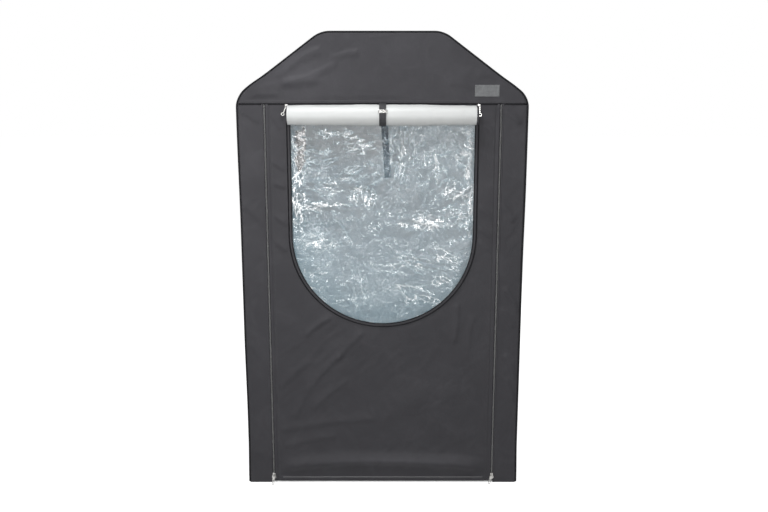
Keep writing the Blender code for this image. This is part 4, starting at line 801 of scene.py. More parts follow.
# Door hem and the swell above it, the gable's hem and the seams beside the zips
HEM_HEIGHT = 0.0205
HEM_PROUD = 0.0042
HEM_REACH = 0.448
HEM_STEP = 0.0045
SWELL_HEIGHT = 0.104
SWELL_PROUD = 0.021
SWELL_WIDTH = 0.028
SWELL_ARCH = 0.035
GABLE_HEM = 0.013
GABLE_HEM_PROUD = 0.0010
GABLE_HEM_STEP = 0.002
ZIP_SEAM_X = ZIP_X - 0.020
ZIP_SEAM_DEPTH = 0.0013
ZIP_SEAM_WIDTH = 0.0016
WALL_SLACK = 0.009
# How far from its edge a wall lies flat on its tube
TUBE_REACH = 0.026


def faded(reach, *distances):
    """Share of a relief that is left near the closest of some edges."""
    nearest = distances[0]
    for distance in distances[1:]:
        nearest = np.minimum(nearest, distance)
    return smooth(nearest / reach)


def window_distance(x, z):
    """Distance outside the window's outline, negative inside it."""
    arc = np.hypot(x, z - WINDOW_ARC) - WINDOW_HALF
    leg = np.maximum(np.abs(x) - WINDOW_HALF, z - WINDOW_TOP)
    return np.where(z > WINDOW_ARC, leg, arc)


def crumple(x, z, angle, seed):
    """Small sharp creases that run along a direction."""
    along = x * math.cos(angle) + z * math.sin(angle)
    across = z * math.cos(angle) - x * math.sin(angle)
    height = layered_noise(along * 9, across * 24, seed, 2)
    patch = smooth(0.5 + 0.9 * soft_noise(along * 4 + 5, across * 6, seed + 3))
    return 0.0030 * (0.35 - np.sqrt(height**2 + 0.006)) * patch


def door_relief(x, z):
    """Outward relief of the door's cloth."""
    beside = DOOR_EDGE - np.abs(x)
    calm = faded(0.020, window_distance(x, z) - BINDING_WIDTH, beside - 0.021, DOOR_TOP - z)
    lower = smooth((WINDOW_ARC - z) / 0.5)
    waves = 0.0011 * layered_noise(x * 9 + 3.1, z * 7, 11) * (0.5 + lower)
    waves += 0.0005 * layered_noise(x * 30, z * 22, 17, 2)
    waves += 0.8 * crumple(x, z, 0.75, 25) * lower + 0.35 * crumple(x, z, -0.5, 27)
    relief = (folds(x, z, DOOR_FOLDS) + waves) * calm
    swell_z = SWELL_HEIGHT - SWELL_ARCH * (x / DOOR_EDGE) ** 2 + 0.006 * soft_noise(x * 6, x * 0, 23)
    swell = SWELL_PROUD * np.exp(-(((z - swell_z) / SWELL_WIDTH) ** 2))
    above_hem = z - DOOR_BOTTOM - HEM_HEIGHT
    relief = (relief + swell * smooth((beside - 0.016) / 0.09)) * smooth(above_hem / 0.02)
    hem = (1 - smooth(above_hem / HEM_STEP + 0.5)) * smooth((beside - 0.020) / 0.02)
    relief += HEM_PROUD * hem * (1 - 0.35 * smooth((DOOR_BOTTOM + 0.008 - z) / 0.008))
    seam = (np.abs(x) - ZIP_SEAM_X) / ZIP_SEAM_WIDTH
    return relief - ZIP_SEAM_DEPTH * np.exp(-(seam**2)) * (z > 0)


def strip_relief(x, z):
    """Outward relief of the strip beside the door."""
    side = -1 if x.flat[0] < 0 else 1
    reach = np.abs(x)
    calm = faded(0.018, reach - STRIP_EDGE - CLEARANCE, HALF_WIDTH - EDGE_INSET - reach, DOOR_TOP - z, z)
    waves = 0.0009 * layered_noise(x * 12, z * 5, 31 + side) + 0.0004 * layered_noise(x * 34, z * 20, 37, 2)
    waves += 0.7 * crumple(x, z, 0.9, 33 + side)
    return (folds(x, z, LEFT_STRIP_FOLDS if side < 0 else RIGHT_STRIP_FOLDS) + waves) * calm


def gable_relief(x, z):
    """Outward relief of the panel above the door."""
    above_hem = z - DOOR_TOP - GABLE_HEM
    calm = faded(0.030, outline_distance(x, z) - EDGE_INSET, above_hem)
    waves = 0.0010 * layered_noise(x * 8 + 1.7, z * 9, 41) + 0.0005 * layered_noise(x * 28, z * 30, 43, 2)
    waves += crumple(x, z, 0.64, 47) * smooth((0.05 - x) / 0.15)
    waves += 0.6 * crumple(x, z, -0.6, 49) * smooth((x - 0.1) / 0.2)
    hem = 1 - smooth(above_hem / 0.002 + 0.5)
    return (folds(x, z, GABLE_FOLDS, 0.45) + waves) * calm + GABLE_HEM_PROUD * hem


def wall_relief(u, z, seed):
    """Relief of a side or rear wall, drawn in between the tubes."""
    waves = 0.0030 * layered_noise(u * 4, z * 3, seed) + 0.0014 * layered_noise(u * 13, z * 9, seed + 5, 3)
    return waves - WALL_SLACK


# Cloth panels


def panel(name, outer, inward, body, flat, held, rests_on, replaced, kept=None, area=None):
    """Cloth over a grid of outer points and the lining behind it."""
    inward = np.asarray(inward, float)
    cloth = shell(name, outer, inward, CLOTH, GREY_CLOTH, body, kept)
    deep = outer + np.broadcast_to(inward, outer.shape) * (CLOTH + LINING_GAP)
    lining = shell(name + "_lining", deep, inward, LINING, WHITE_LINING, body, kept)
    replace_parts(cloth, replaced)


def on_front(x, z, relief, lift=0.0):
    """Points on the front skin, moved out by a relief."""
    x, z = np.broadcast_arrays(np.asarray(x, float), z)
    return np.stack([x, FRONT - relief(x, z) - lift, z], -1)


def centres(grid):
    """Middle of each cell of a grid."""
    return (grid[:-1, :-1] + grid[1:, 1:]) / 2


def drawn_round(x, z, kept, centre, radius, spread, top=math.inf):
    """Grid points beside cells cut out of a round hole, moved onto its edge."""
    near = np.zeros(x.shape, int)
    for rows in (slice(None, -1), slice(1, None)):
        for columns in (slice(None, -1), slice(1, None)):
            near[rows, columns] += kept
    reach = np.hypot(x - centre[0], z - centre[1])
    edge = (near > 0) & (near < 4) & (z < top) & (reach < radius + spread)
    share = np.where(edge, radius / np.maximum(reach, 1e-6), 1.0)
    return centre[0] + (x - centre[0]) * share, centre[1] + (z - centre[1]) * share


def build_door():
    """Door cloth with the window cut out."""
    seam = [ZIP_SEAM_X + s * ZIP_SEAM_WIDTH * 0.8 for s in (-2, -1, 0, 1, 2)]
    edge = DOOR_EDGE - CLEARANCE
    half = graded(0, (WINDOW_HALF, PANEL_STEP), (seam[0], PANEL_STEP), seam, (edge, 0.005))
    hem_top = DOOR_BOTTOM + HEM_HEIGHT
    hem = ((hem_top - HEM_STEP, 0.004), (hem_top + HEM_STEP, 0.0011))
    rows = graded(DOOR_BOTTOM, *hem, (WINDOW_TOP, PANEL_STEP), (DOOR_TOP, PANEL_STEP))
    x, z = np.meshgrid(np.concatenate([-half[:0:-1], half]), rows)
    kept = window_distance(centres(x), centres(z)) > 0
    x, z = drawn_round(x, z, kept, (0.0, WINDOW_ARC), WINDOW_HALF, 0.02, WINDOW_ARC)
    outer = on_front(x, z, door_relief)
    width, length = 2 * DOOR_EDGE, DOOR_TOP - DOOR_BOTTOM
    area = width * length - 2 * WINDOW_HALF * WINDOW_LEG - math.pi * WINDOW_HALF**2 / 2
    flat = (width, length)
    panel("door_cloth", outer, INWARD, "door", flat, "hung", ["front_gable"], "door_panel", kept, area)


def build_strips():
    """Cloth strips beside the door."""
    rows = spaced(0.0, DOOR_TOP, PANEL_STEP)[:, None]
    start = STRIP_EDGE + CLEARANCE
    across = start + np.linspace(0, 1, 17) * (half_width(rows, EDGE_INSET) - start)
    flat = (HALF_WIDTH - start, DOOR_TOP)
    for name, side in SIDES:
        outer = hung(on_front(side * across, rows, strip_relief))
        facts = (flat, "hung", ["front_gable"], f"front_strip_{name}")
        panel(f"strip_cloth_{name}", outer, INWARD, "tent", *facts)


def build_gable():
    """Cloth above the door."""
    bottom = low("front_gable").z
    hem, ridge = bottom + GABLE_HEM, ridge_heights(EDGE_INSET)
    around_hem = ((hem - GABLE_HEM_STEP, 0.0035), (hem + GABLE_HEM_STEP, 0.0007))
    rows = graded(bottom, *around_hem, (ridge[0], PANEL_STEP), ridge)
    widths = half_width(rows, EDGE_INSET)
    outer = hung(on_front(np.linspace(-1, 1, 161) * widths[:, None], rows[:, None], gable_relief))
    flat, area = (2 * HALF_WIDTH, TOP - bottom), area_under(2 * widths, rows)
    facts = (flat, "stretched", ["top_tube_front"], "front_gable", None, area)
    panel("gable_cloth", outer, INWARD, "tent", *facts)


def hang_share(y):
    """Share of the front's hang that a wall has at a depth."""
    return smooth((0.1 - y) / 0.4)


def build_side_walls():
    """Side walls, drawn in a little between the tubes."""
    front, rear = low("side_wall_right").y, high("side_wall_right").y
    y, z = np.meshgrid(spaced(front, rear, WALL_STEP), spaced(0.0, WALL_TOP, WALL_STEP))
    calm = faded(0.12, y - front - TUBE_REACH, rear - y - TUBE_REACH, z - 0.03, WALL_TOP - z)
    for name, side in SIDES:
        outer = np.stack([side * (HALF_WIDTH + wall_relief(y, z, 51 + side) * calm), y, z], -1)
        outer = hung(outer, hang_share(y))
        facts = ((rear - front, WALL_TOP), "stretched", [f"upright_front_{name}"], f"side_wall_{name}")
        panel(f"side_cloth_{name}", outer, (-side, 0, 0), "tent", *facts)


def build_roof():
    """Roof cloth over both slopes and the flat top."""
    front, rear = low("roof_cover").y, high("roof_cover").y
    x, z, angles = np.array(whole_outline(0.0, WALL_TOP, WALL_STEP)).T
    outward = np.stack([np.cos(angles), 0 * angles, np.sin(angles)], -1)
    base = np.stack([x, 0 * x, z], -1)
    reach = np.concatenate([[0], np.cumsum(lengths(base))])
    s, y = np.meshgrid(reach, spaced(front, rear, WALL_STEP))
    flatness = np.exp(-((np.abs(np.abs(x) - 0.41) / 0.09) ** 2)) + np.exp(-((x / 0.15) ** 2))
    calm = faded(0.10, y - front - TUBE_REACH, rear - y - TUBE_REACH) * flatness
    relief = (0.0016 * layered_noise(s * 6, y * 5, 61) - 0.0055) * calm
    outer = base + outward * relief[..., None]
    outer[..., 1] = y
    outer = hung(outer, hang_share(y))
    rests_on = ["top_tube_front", "top_tube_rear"]
    flat = (float(reach[-1]), rear - front)
    panel("roof_cloth", outer, -outward, "tent", flat, "stretched", rests_on, "roof_cover")


SLEEVE_X = (low("duct_sleeve").x + high("duct_sleeve").x) / 2
SLEEVE_Z = (low("duct_sleeve").z + high("duct_sleeve").z) / 2
SLEEVE_RADIUS = 0.079
SLEEVE_FLANGE = 0.020
VENT_HALF = 0.150
VENT_LOW = 0.130
VENT_HIGH = 0.310


def build_rear_wall():
    """Rear wall with its two ports."""
    ridge = ridge_heights(0.0)
    rows = graded(0, *[(height, WALL_STEP) for height in (VENT_LOW, VENT_HIGH, ridge[0])], ridge)
    widths = half_width(rows, 0.0)
    half = graded(VENT_HALF, (0.42, WALL_STEP), (HALF_WIDTH, WALL_STEP))
    full = np.concatenate([-half[::-1], spaced(-VENT_HALF, VENT_HALF, WALL_STEP)[1:-1], half])
    level = rows[:, None]
    x = np.where(level < VENT_HIGH + 0.01, full, full * widths[:, None] / HALF_WIDTH)
    z = np.broadcast_to(level, x.shape)
    hole = np.hypot(centres(x) - SLEEVE_X, centres(z) - SLEEVE_Z) < SLEEVE_RADIUS
    vent = (np.abs(centres(x)) < VENT_HALF) & (centres(z) > VENT_LOW) & (centres(z) < VENT_HIGH)
    x, z = drawn_round(x, z, ~hole, (SLEEVE_X, SLEEVE_Z), SLEEVE_RADIUS, 0.03)
    around = np.hypot(x - SLEEVE_X, z - SLEEVE_Z) - SLEEVE_RADIUS - SLEEVE_FLANGE
    vent_height = VENT_HIGH - VENT_LOW
    vent_away = np.maximum(np.abs(x) - VENT_HALF, np.abs(z - (VENT_LOW + VENT_HIGH) / 2) - vent_height / 2)
    calm = faded(0.10, outline_distance(x, z) - 0.040, around - 0.02, vent_away - 0.045)
    outer = np.stack([x, REAR + wall_relief(x, z, 71) * calm, z], -1)
    area = area_under(2 * widths, rows) - math.pi * SLEEVE_RADIUS**2 - 2 * VENT_HALF * vent_height
    facts = ((2 * HALF_WIDTH, TOP), "stretched", ["upright_rear_left"], "rear_wall", ~(hole | vent), area)
    panel("rear_cloth", outer, OUTWARD, "tent", *facts)


def build_floor():
    """Floor sheet inside the foot of the walls."""
    box_low, box_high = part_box("floor_sheet")
    x, y = np.meshgrid(spaced(box_low.x, box_high.x, 0.02), spaced(box_low.y, box_high.y, 0.02))
    calm = faded(0.05, box_high.x - np.abs(x), box_high.y - np.abs(y))
    height = box_high.z - 0.0003 * (1 + layered_noise(x * 7, y * 7, 81)) * calm
    made = shell("floor_cloth", np.stack([x, y, height], -1), (0, 0, -1), 0.0012, WHITE_LINING)
    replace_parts(made, "floor_sheet")


build_door()
build_strips()
build_gable()
build_side_walls()
build_roof()
build_rear_wall()
build_floor()


# Trim of the cloth

PIPING_SIZE = 0.0038
PIPING_INSET = 0.0015
ZIP_GAP = 0.0056
COIL_HALF = 0.0032
COIL_PITCH = 0.0026
COIL_RISE = 0.0014
COIL_WIRE = 0.00062


def build_piping():
    """Piping round the front edge, and the like at the rear."""
    for name, y, share in (("front", FRONT + PIPING_RADIUS, 1.0), ("rear", REAR - PIPING_RADIUS, 0.0)):
        path = [(x, y, z) for x, z, _ in whole_outline(PIPING_INSET, CLEARANCE, 0.012)]
        made = swept(f"piping_{name}", hung(path, share), INWARD, round_profile(PIPING_SIZE), DARK_TAPE)
        if name == "front":
            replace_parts(made, "front_piping")


def build_coil(name, near, far, body, shifted):
    """Coil of one side of a zip: a row of rounded loops from its tape to the middle."""
    places = np.arange(DOOR_BOTTOM + CLEARANCE, DOOR_TOP - CLEARANCE, COIL_PITCH) + shifted * COIL_PITCH / 2
    line = []
    for share in np.linspace(0, 1, 5):
        rise = COIL_RISE * math.sin(math.pi * min(share * 0.75 + 0.25, 1.0))
        line.append((far + (near - far) * share, FRONT - rise, 0.0))
    rings = path_rings(line, (0, 0, 1), round_profile(COIL_WIRE, 6))
    loop = ring_faces(*rings.shape[:2])
    points = np.concatenate([rings.reshape(-1, 3) + (0, 0, z) for z in places])
    count = len(points) // len(places)
    faces = [[i + turn * count for i in face] for turn in range(len(places)) for face in loop]
    make_object(name, points, faces, ZIP_COIL_HIGHLIGHTED, body)


def build_zips():
    """Tapes and coils of the two door zips."""
    rows = spaced(DOOR_BOTTOM, DOOR_TOP - 0.002, 0.02)
    for name, side in SIDES:
        for part, body, sign, reach in (("door", "door", -1, 0.0150), ("strip", "tent", 1, 0.0115)):
            for kind, near, far, proud, finish in (
                ("base", 0.0004, ZIP_GAP + 0.001, -0.0010, DARK_TAPE),
                ("edge", ZIP_GAP, reach, 0.0003, GREY_CLOTH),
            ):
                middle = side * (ZIP_X + sign * (near + far) / 2)
                path = [(middle, FRONT - proud, z) for z in rows]
                profile = tape_profile(far - near, 0.0009, 0.0003)
                swept(f"zip_{kind}_{part}_{name}", path, OUTWARD, profile, finish, body)
            near, far = (side * (ZIP_X + sign * away) for away in (0.0002, COIL_HALF))
            build_coil(f"zip_coil_{part}_{name}", near, far, body, part == "strip")


def window_path(growth, top, y=FRONT, step=0.01, arc_steps=None):
    """U path round the window, from its left top down and round to its right top."""
    reach = WINDOW_HALF + growth
    leg = spaced(top, WINDOW_ARC, step)[:-1]
    arc = circle_arc(reach, math.pi, 2 * math.pi, (arc_steps or round(math.pi * reach / step)) + 1)
    path = [(-reach, y, z) for z in leg] + [(u, y, WINDOW_ARC + v) for u, v in arc]
    return path + [(reach, y, z) for z in leg[::-1]]


WINDOW_STITCH_AWAY = 0.0205


def build_seams():
    """Dark seam tape and backing under the gable's hem, which stand for the shade in the gap under the hem,
    and the rows of stitches along the seams.
    """
    seam_z = DOOR_TOP - 0.0035
    corner = float(half_width(seam_z, EDGE_INSET))
    door, strip, hem = DOOR_EDGE - CLEARANCE, STRIP_EDGE + 0.003, DOOR_BOTTOM + HEM_HEIGHT
    seam, shade_backing = tape_profile(0.0055, 0.0007), tape_profile(0.016, 0.0006)
    welt, proud = round_profile(0.0016, 10), FRONT - HEM_PROUD + 0.0010
    for name, body, start, end, step, y, z, profile, finish in (
        # Painted shade: dark tape and backing in the gap under the gable's hem
        ("seam_shade_tape_door", "door", -door, door, 0.03, FRONT, seam_z, seam, DARK_TAPE),
        ("seam_shade_tape_strip_left", "tent", -corner, -strip, 0.03, FRONT, seam_z, seam, DARK_TAPE),
        ("seam_shade_tape_strip_right", "tent", strip, corner, 0.03, FRONT, seam_z, seam, DARK_TAPE),
        ("seam_shade_backing", "tent", -corner, corner, 0.05, FRONT + 0.0031, DOOR_TOP + 0.001, shade_backing, DARK_TAPE),
        ("door_hem_edge", "door", -HEM_REACH, HEM_REACH, 0.03, proud, hem - 0.0022, welt, HEM_WELT_HIGHLIGHTED),
    ):
        swept(name, [(x, y, z) for x in spaced(start, end, step)], OUTWARD, profile, finish, body)
    rows = []
    for z in (DOOR_TOP + 0.003, DOOR_TOP + GABLE_HEM - 0.0035):
        reach = float(half_width(z, EDGE_INSET)) - CLEARANCE
        rows.append(hung(on_front(spaced(-reach, reach, STITCH_STEP), z, gable_relief)))
    around = whole_outline(EDGE_INSET + CLEARANCE, DOOR_TOP + 0.02, STITCH_STEP)
    stitches("gable_stitches", rows + [hung([(x, FRONT, z) for x, z, _ in around])])
    upright = spaced(DOOR_BOTTOM + CLEARANCE, DOOR_TOP - 0.008, STITCH_STEP)
    rows = [
        on_front(side * (ZIP_SEAM_X + offset), upright, door_relief)
        for side in (-1, 1) for offset in (-0.0035, -0.0085)
    ]
    reach = DOOR_EDGE - 0.03
    rows.append(on_front(spaced(-reach, reach, STITCH_STEP), hem - 0.005, door_relief))
    x, _, z = np.array(window_path(WINDOW_STITCH_AWAY, WINDOW_TOP, arc_steps=119)).T
    stitches("door_stitches", rows + [on_front(x, z, door_relief)], "door")
    upright = spaced(CLEARANCE, WALL_TOP - 0.01, STITCH_STEP)
    for name, side in SIDES:
        places = (ZIP_X + 0.0115, HALF_WIDTH - EDGE_INSET - CLEARANCE)
        stitches(f"strip_stitches_{name}", [hung(on_front(side * x, upright, strip_relief)) for x in places])


build_piping()
build_zips()
build_seams()


# Window film, binding and straps


def creased(u, v, seed, sharpness):
    """Ridges with rounded crests where noise crosses zero."""
    return np.sqrt(layered_noise(u, v, seed, 2) ** 2 + sharpness**2)


def film_relief(x, z):
    """Crinkles of the film, towards the front."""
    upper = smooth((z - 0.95) / 0.45)
    edge = smooth((np.abs(x) - 0.25) / 0.10)
    strength = 0.45 + 0.55 * np.maximum(upper, edge)
    patches = smooth(0.55 + 0.7 * soft_noise(x * 9 + 2.3, z * 11, 89))
    warp_x = x + 0.020 * layered_noise(x * 12, z * 12, 91)
    warp_z = z + 0.020 * layered_noise(x * 12 + 9, z * 12, 93)
    broad = 0.0078 * creased(warp_x * 11, warp_z * 13, 95, 0.08)
    middle = 0.0034 * creased(warp_x * 27, warp_z * 33, 97, 0.10) * (0.35 + 0.65 * patches)
    fine = 0.0011 * creased(warp_x * 70, warp_z * 82, 99, 0.14) * patches
    relief = (broad + middle + fine) * strength + folds(x, z, FILM_FOLDS)
    return np.maximum(relief, 0.0) * smooth((WINDOW_TOP - CLEARANCE - z) / 0.03)


def build_film():
    """Clear crinkled film behind the window."""
    reach, top = WINDOW_HALF + FILM_LAP, WINDOW_TOP + FILM_LAP
    x, z = np.meshgrid(spaced(-reach, reach, FILM_STEP), spaced(WINDOW_ARC - reach, top, FILM_STEP))
    kept = (np.hypot(centres(x), centres(z) - WINDOW_ARC) < reach) | (centres(z) > WINDOW_ARC)
    calm = faded(0.025, CLEARANCE - window_distance(x, z))
    outer = np.stack([x, low("window_film").y + SKIN_GAP - film_relief(x, z) * calm, z], -1)
    film = shell("film", outer, INWARD, FILM_THICKNESS, CLEAR_FILM, "door", kept)
    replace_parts(film, "window_film")


def build_binding():
    """Binding round the window: a tape edge, a flat band and the bead that carries the cover's zip."""
    top = high("window_binding").z
    for name, place, width, height, finish in (
        ("binding_edge", 0.0020, 0.0046, 0.0022, DARK_TAPE),
        ("binding_band", 0.0085, 0.0088, 0.0013, GREY_CLOTH),
        ("binding_bead", 0.0152, 0.0044, 0.0042, DARK_TAPE),
    ):
        path = window_path(place, top, FRONT - SKIN_GAP)
        made = swept(name, path, OUTWARD, tape_profile(width, height, 0.0002), finish, "door")
        if name == "binding_edge":
            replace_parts(made, "window_binding")
    rows = [window_path(place, top - 0.01, FRONT - 0.0018) for place in (0.0062, 0.0112)]
    stitches("binding_stitches", rows, "door")


# Rolled window cover
COVER_LENGTH = 0.956
COVER_CLOTH = 0.0008
ROLL_HALF_LENGTH = high("window_cover_roll").x
ROLL_CORE = 0.009
ROLL_END_SHARE = 0.900
ROLL_GROWTH = 0.0038
ROLL_LIFT = 0.0020
ROLL_SAG = 0.0012
ROLL_SQUEEZE = 0.045
ROLL_RADIUS = (high("window_cover_roll").y - low("window_cover_roll").y) / 2 + ROLL_GROWTH
ROLL_Y = high("window_cover_roll").y - ROLL_RADIUS
ROLL_Z = low("window_cover_roll").z + ROLL_RADIUS - ROLL_GROWTH + ROLL_LIFT


def build_roll():
    """Window cover rolled up from below as one spiral sheet, lining outwards."""
    hanging = high("window_cover_roll").z - ROLL_Z
    pitch = math.pi * (ROLL_RADIUS**2 - ROLL_CORE**2) / (COVER_LENGTH - hanging)
    turns = (ROLL_RADIUS - ROLL_CORE) / pitch
    winding = np.linspace(0, turns, round(turns * 40) + 1)
    share, t = np.meshgrid(np.sin(np.linspace(-math.pi / 2, math.pi / 2, 91)), np.append([0, 0, 0], winding))
    up = np.append([1.0, 0.66, 0.33], np.zeros(len(winding)))[:, None]
    full = ROLL_RADIUS * (ROLL_END_SHARE + (1 - ROLL_END_SHARE) * (1 - share**2))
    radius = full * (1 - np.exp(-((share / 0.06) ** 4)) * ROLL_SQUEEZE)
    centre_y = high("window_cover_roll").y - full
    angle = -2 * math.pi * t
    slack = 0.0009 * layered_noise(share * 5 + 3, np.cos(angle) * 1.5 + t * 0.6, 101)
    slack += 0.0005 * layered_noise(share * 26, angle * 0.9, 103, 2)
    slack *= smooth((1 - np.abs(share)) / 0.05) * np.minimum(1, np.abs(angle))
    shrink = (radius - ROLL_CORE) / (ROLL_RADIUS - ROLL_CORE)
    reach = radius - shrink * pitch * t - np.maximum(slack, -0.001) * 0.9
    y = np.where(up > 0, centre_y + radius, centre_y + reach * np.cos(angle))
    sag = ROLL_SAG * smooth(share)
    z = np.where(up > 0, ROLL_Z + hanging * up, ROLL_Z + reach * np.sin(angle)) - sag
    outer = np.stack([share * ROLL_HALF_LENGTH, y, z], -1)
    inward = np.stack([0 * y, centre_y - y, ROLL_Z - sag - z], -1)
    inward[up[:, 0] > 0] = OUTWARD
    inward = unit(inward)
    roll = shell("cover_roll", outer, inward, LINING, COVER_LINING_SHADED, "door")
    inner = outer + inward * (LINING + 0.0001)
    trims = [shell("cover_roll_cloth", inner, inward, COVER_CLOTH, GREY_CLOTH, "door")]
    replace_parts(roll, "window_cover_roll")
    for name, columns in (("left", slice(0, 4)), ("right", slice(-7, None))):
        around, depth = outer[3:44, columns], inward[3:44, columns]
        tape = shell(f"roll_edge_tape_{name}", around - depth * 0.0005, depth, 0.0004, GREY_CLOTH, "door")
        trims.append(tape)


STRAP_THICKNESS = 0.0012
STRAP_WIDTH = 0.028
STRAP_DROP = 0.0015
STRAP_GAP = 0.0003
STRAP_RADIUS = ROLL_RADIUS * (1 - ROLL_SQUEEZE)
RING_WIRE = 0.0014
RING_HALF_WIDTH = 0.0175
RING_HALF_HEIGHT = 0.0055
RING_CORNER = 0.003
RING_ANGLE = math.radians(180 - 17)


def build_cover_strap():
    """Webbing loop that holds the roll."""
    box_low, box_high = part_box("cover_strap")
    reach = STRAP_RADIUS + STRAP_GAP + STRAP_THICKNESS / 2
    start = np.array((0.0, box_high.y - STRAP_GAP - STRAP_THICKNESS * 2, box_high.z - STRAP_DROP))
    offset_y, offset_z = start[1] - ROLL_Y, start[2] - ROLL_Z
    away = math.hypot(offset_y, offset_z)
    touch = math.atan2(offset_z, offset_y) + math.acos(min(reach / away, 1.0))
    around = [(0.0, ROLL_Y + u, ROLL_Z + v) for u, v in circle_arc(reach, touch, 2 * math.pi, 60)]
    path = [start + (np.array(around[0]) - start) * share for share in (0, 0.25, 0.5, 0.75)] + around
    path = np.array(path + [(0.0, ROLL_Y + reach, z) for z in spaced(ROLL_Z, start[2], 0.006)[1:]])
    width = box_high.x - box_low.x
    profile = [(u, v - STRAP_THICKNESS / 2) for u, v in tape_profile(width, STRAP_THICKNESS)]
    out = np.cross((1, 0, 0), np.gradient(path, axis=0))
    made = swept("strap", path, out, profile, WEBBING, "door")
    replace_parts(made, "cover_strap")


def build_inner_strap():
    """Webbing that hangs behind the film."""
    box_low, box_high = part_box("inner_strap")
    width, height = STRAP_WIDTH, box_high.z - box_low.z
    start, slant = box_low.x + width / 2, box_high.x - box_low.x - width
    path = []
    for share in np.linspace(0, 1, 40):
        back = 0.0006 + 0.006 * math.sin(math.pi / 2 * share) ** 2
        path.append((start + slant * share, box_low.y + back, box_high.z - height * share))
    made = swept("strap_inside", path, OUTWARD, tape_profile(width, STRAP_THICKNESS), WEBBING, "door")
    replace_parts(made, "inner_strap")


def build_ring():
    """Metal ring on the strap, with its middle bar."""
    out = np.array((0.0, math.cos(RING_ANGLE), math.sin(RING_ANGLE)))
    along = np.array((0.0, out[2], -out[1]))
    centre = np.array((0.0, ROLL_Y, ROLL_Z)) + out * (STRAP_RADIUS + 0.0006 + STRAP_THICKNESS + RING_WIRE)
    path = []
    for sign_x, sign_z, first in ((1, 1, 0), (-1, 1, 90), (-1, -1, 180), (1, -1, 270)):
        for u, v in circle_arc(RING_CORNER, math.radians(first), math.radians(first + 90), 7):
            u += sign_x * (RING_HALF_WIDTH - RING_CORNER)
            v += sign_z * (RING_HALF_HEIGHT - RING_CORNER)
            path.append(centre + (u, 0, 0) + along * v)
    wire = round_profile(RING_WIRE)
    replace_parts(swept("ring", path, out, wire, NICKEL, "door", closed=True), "strap_ring")
    reach = RING_HALF_WIDTH - RING_WIRE
    bar = [centre + (u, 0, 0) for u in np.linspace(-reach, reach, 12)]
    swept("ring_bar", bar, out, [(u * 1.7, v * 0.6) for u, v in wire], NICKEL, "door")


build_film()
build_binding()
build_roll()
build_cover_strap()
build_inner_strap()
build_ring()


# Label patch, left bare: its middle and half its size, across and up
LABEL_MIDDLE = np.array((0.430, 1.727))
LABEL_HALF = np.array((0.051, 0.024))
LABEL_LIFT = 0.0012
LABEL_THICKNESS = 0.0011
LABEL_SEAM_INSET = 0.003


def build_label():
    """Plain sewn patch on the gable."""
    shares = (np.linspace(-1, 1, 25), np.linspace(-1, 1, 13)[:, None])
    x, z = (middle + half * share for middle, half, share in zip(LABEL_MIDDLE, LABEL_HALF, shares))
    outer = on_front(x, z, gable_relief, LABEL_LIFT)
    patch = shell("label_patch", outer, INWARD, LABEL_THICKNESS, LABEL_CLOTH)
    corners = np.array([(-1, -1), (1, -1), (1, 1), (-1, 1), (-1, -1)])
    rows = []
    for start, end in zip(corners, corners[1:]):
        share = start + (end - start) * np.linspace(0, 1, 24)[:, None]
        x, z = (LABEL_MIDDLE + share * (LABEL_HALF - LABEL_SEAM_INSET)).T
        rows.append(on_front(x, z, gable_relief, LABEL_LIFT + SEAM_LIFT))
    stitches("label_stitches", rows)


build_label()


# Rear ports


def build_sleeve():
    """Duct sleeve sewn to the rear wall, gathered a little towards its hemmed end."""
    wall, end = REAR + SKIN_GAP, high("duct_sleeve").y
    section = [(SLEEVE_FLANGE, wall), (SLEEVE_FLANGE, wall + 0.0011), (0.010, wall + 0.0012)]
    section += [(0.004, wall + 0.0018), (0.001, wall + 0.0050)]
    section += [(0.0, y) for y in spaced(wall + 0.012, end - 0.020, 0.006)]
    section += [(0.0010, end - 0.018), (0.0012, end - 0.004), (0.0016, end - 0.001), (0.0, end)]
    section += [(-0.0014, end - 0.001)]
    section += [(-0.0012, y) for y in spaced(end - 0.006, wall + 0.002, 0.006)] + [(-0.0006, wall)]
    growth, y = np.array(section).T
    away = smooth((y - wall - 0.01) / (end - wall))
    angles = np.linspace(0, 2 * math.pi, 181)[:-1, None]
    gathers = 0.0022 * np.sin(angles * 13 + 1.5 * np.sin(angles * 3)) + 0.0012 * np.sin(angles * 31 + 2)
    reach = SLEEVE_RADIUS + growth + away * (gathers - 0.004)
    x, z = SLEEVE_X + reach * np.cos(angles), SLEEVE_Z + reach * np.sin(angles)
    rings = np.stack([x, np.broadcast_to(y, x.shape), z], -1)
    sleeve = loft("sleeve", rings, GREY_CLOTH, closed=True)
    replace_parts(sleeve, "duct_sleeve")
    rows = []
    for inset in (0.004, 0.014):
        circle = circle_arc(SLEEVE_RADIUS + SLEEVE_FLANGE - inset, 0, 2 * math.pi, 160)
        rows.append([(SLEEVE_X + u, wall + 0.0013, SLEEVE_Z + v) for u, v in circle])
    stitches("sleeve_stitches", rows, normal=INWARD)


FLAP_BORDER = 0.009
FLAP_HANG = 0.0040
FLAP_WAVES = 0.0010
FLAP_HEM = 0.0007
FLAP_THICKNESS = 0.0016


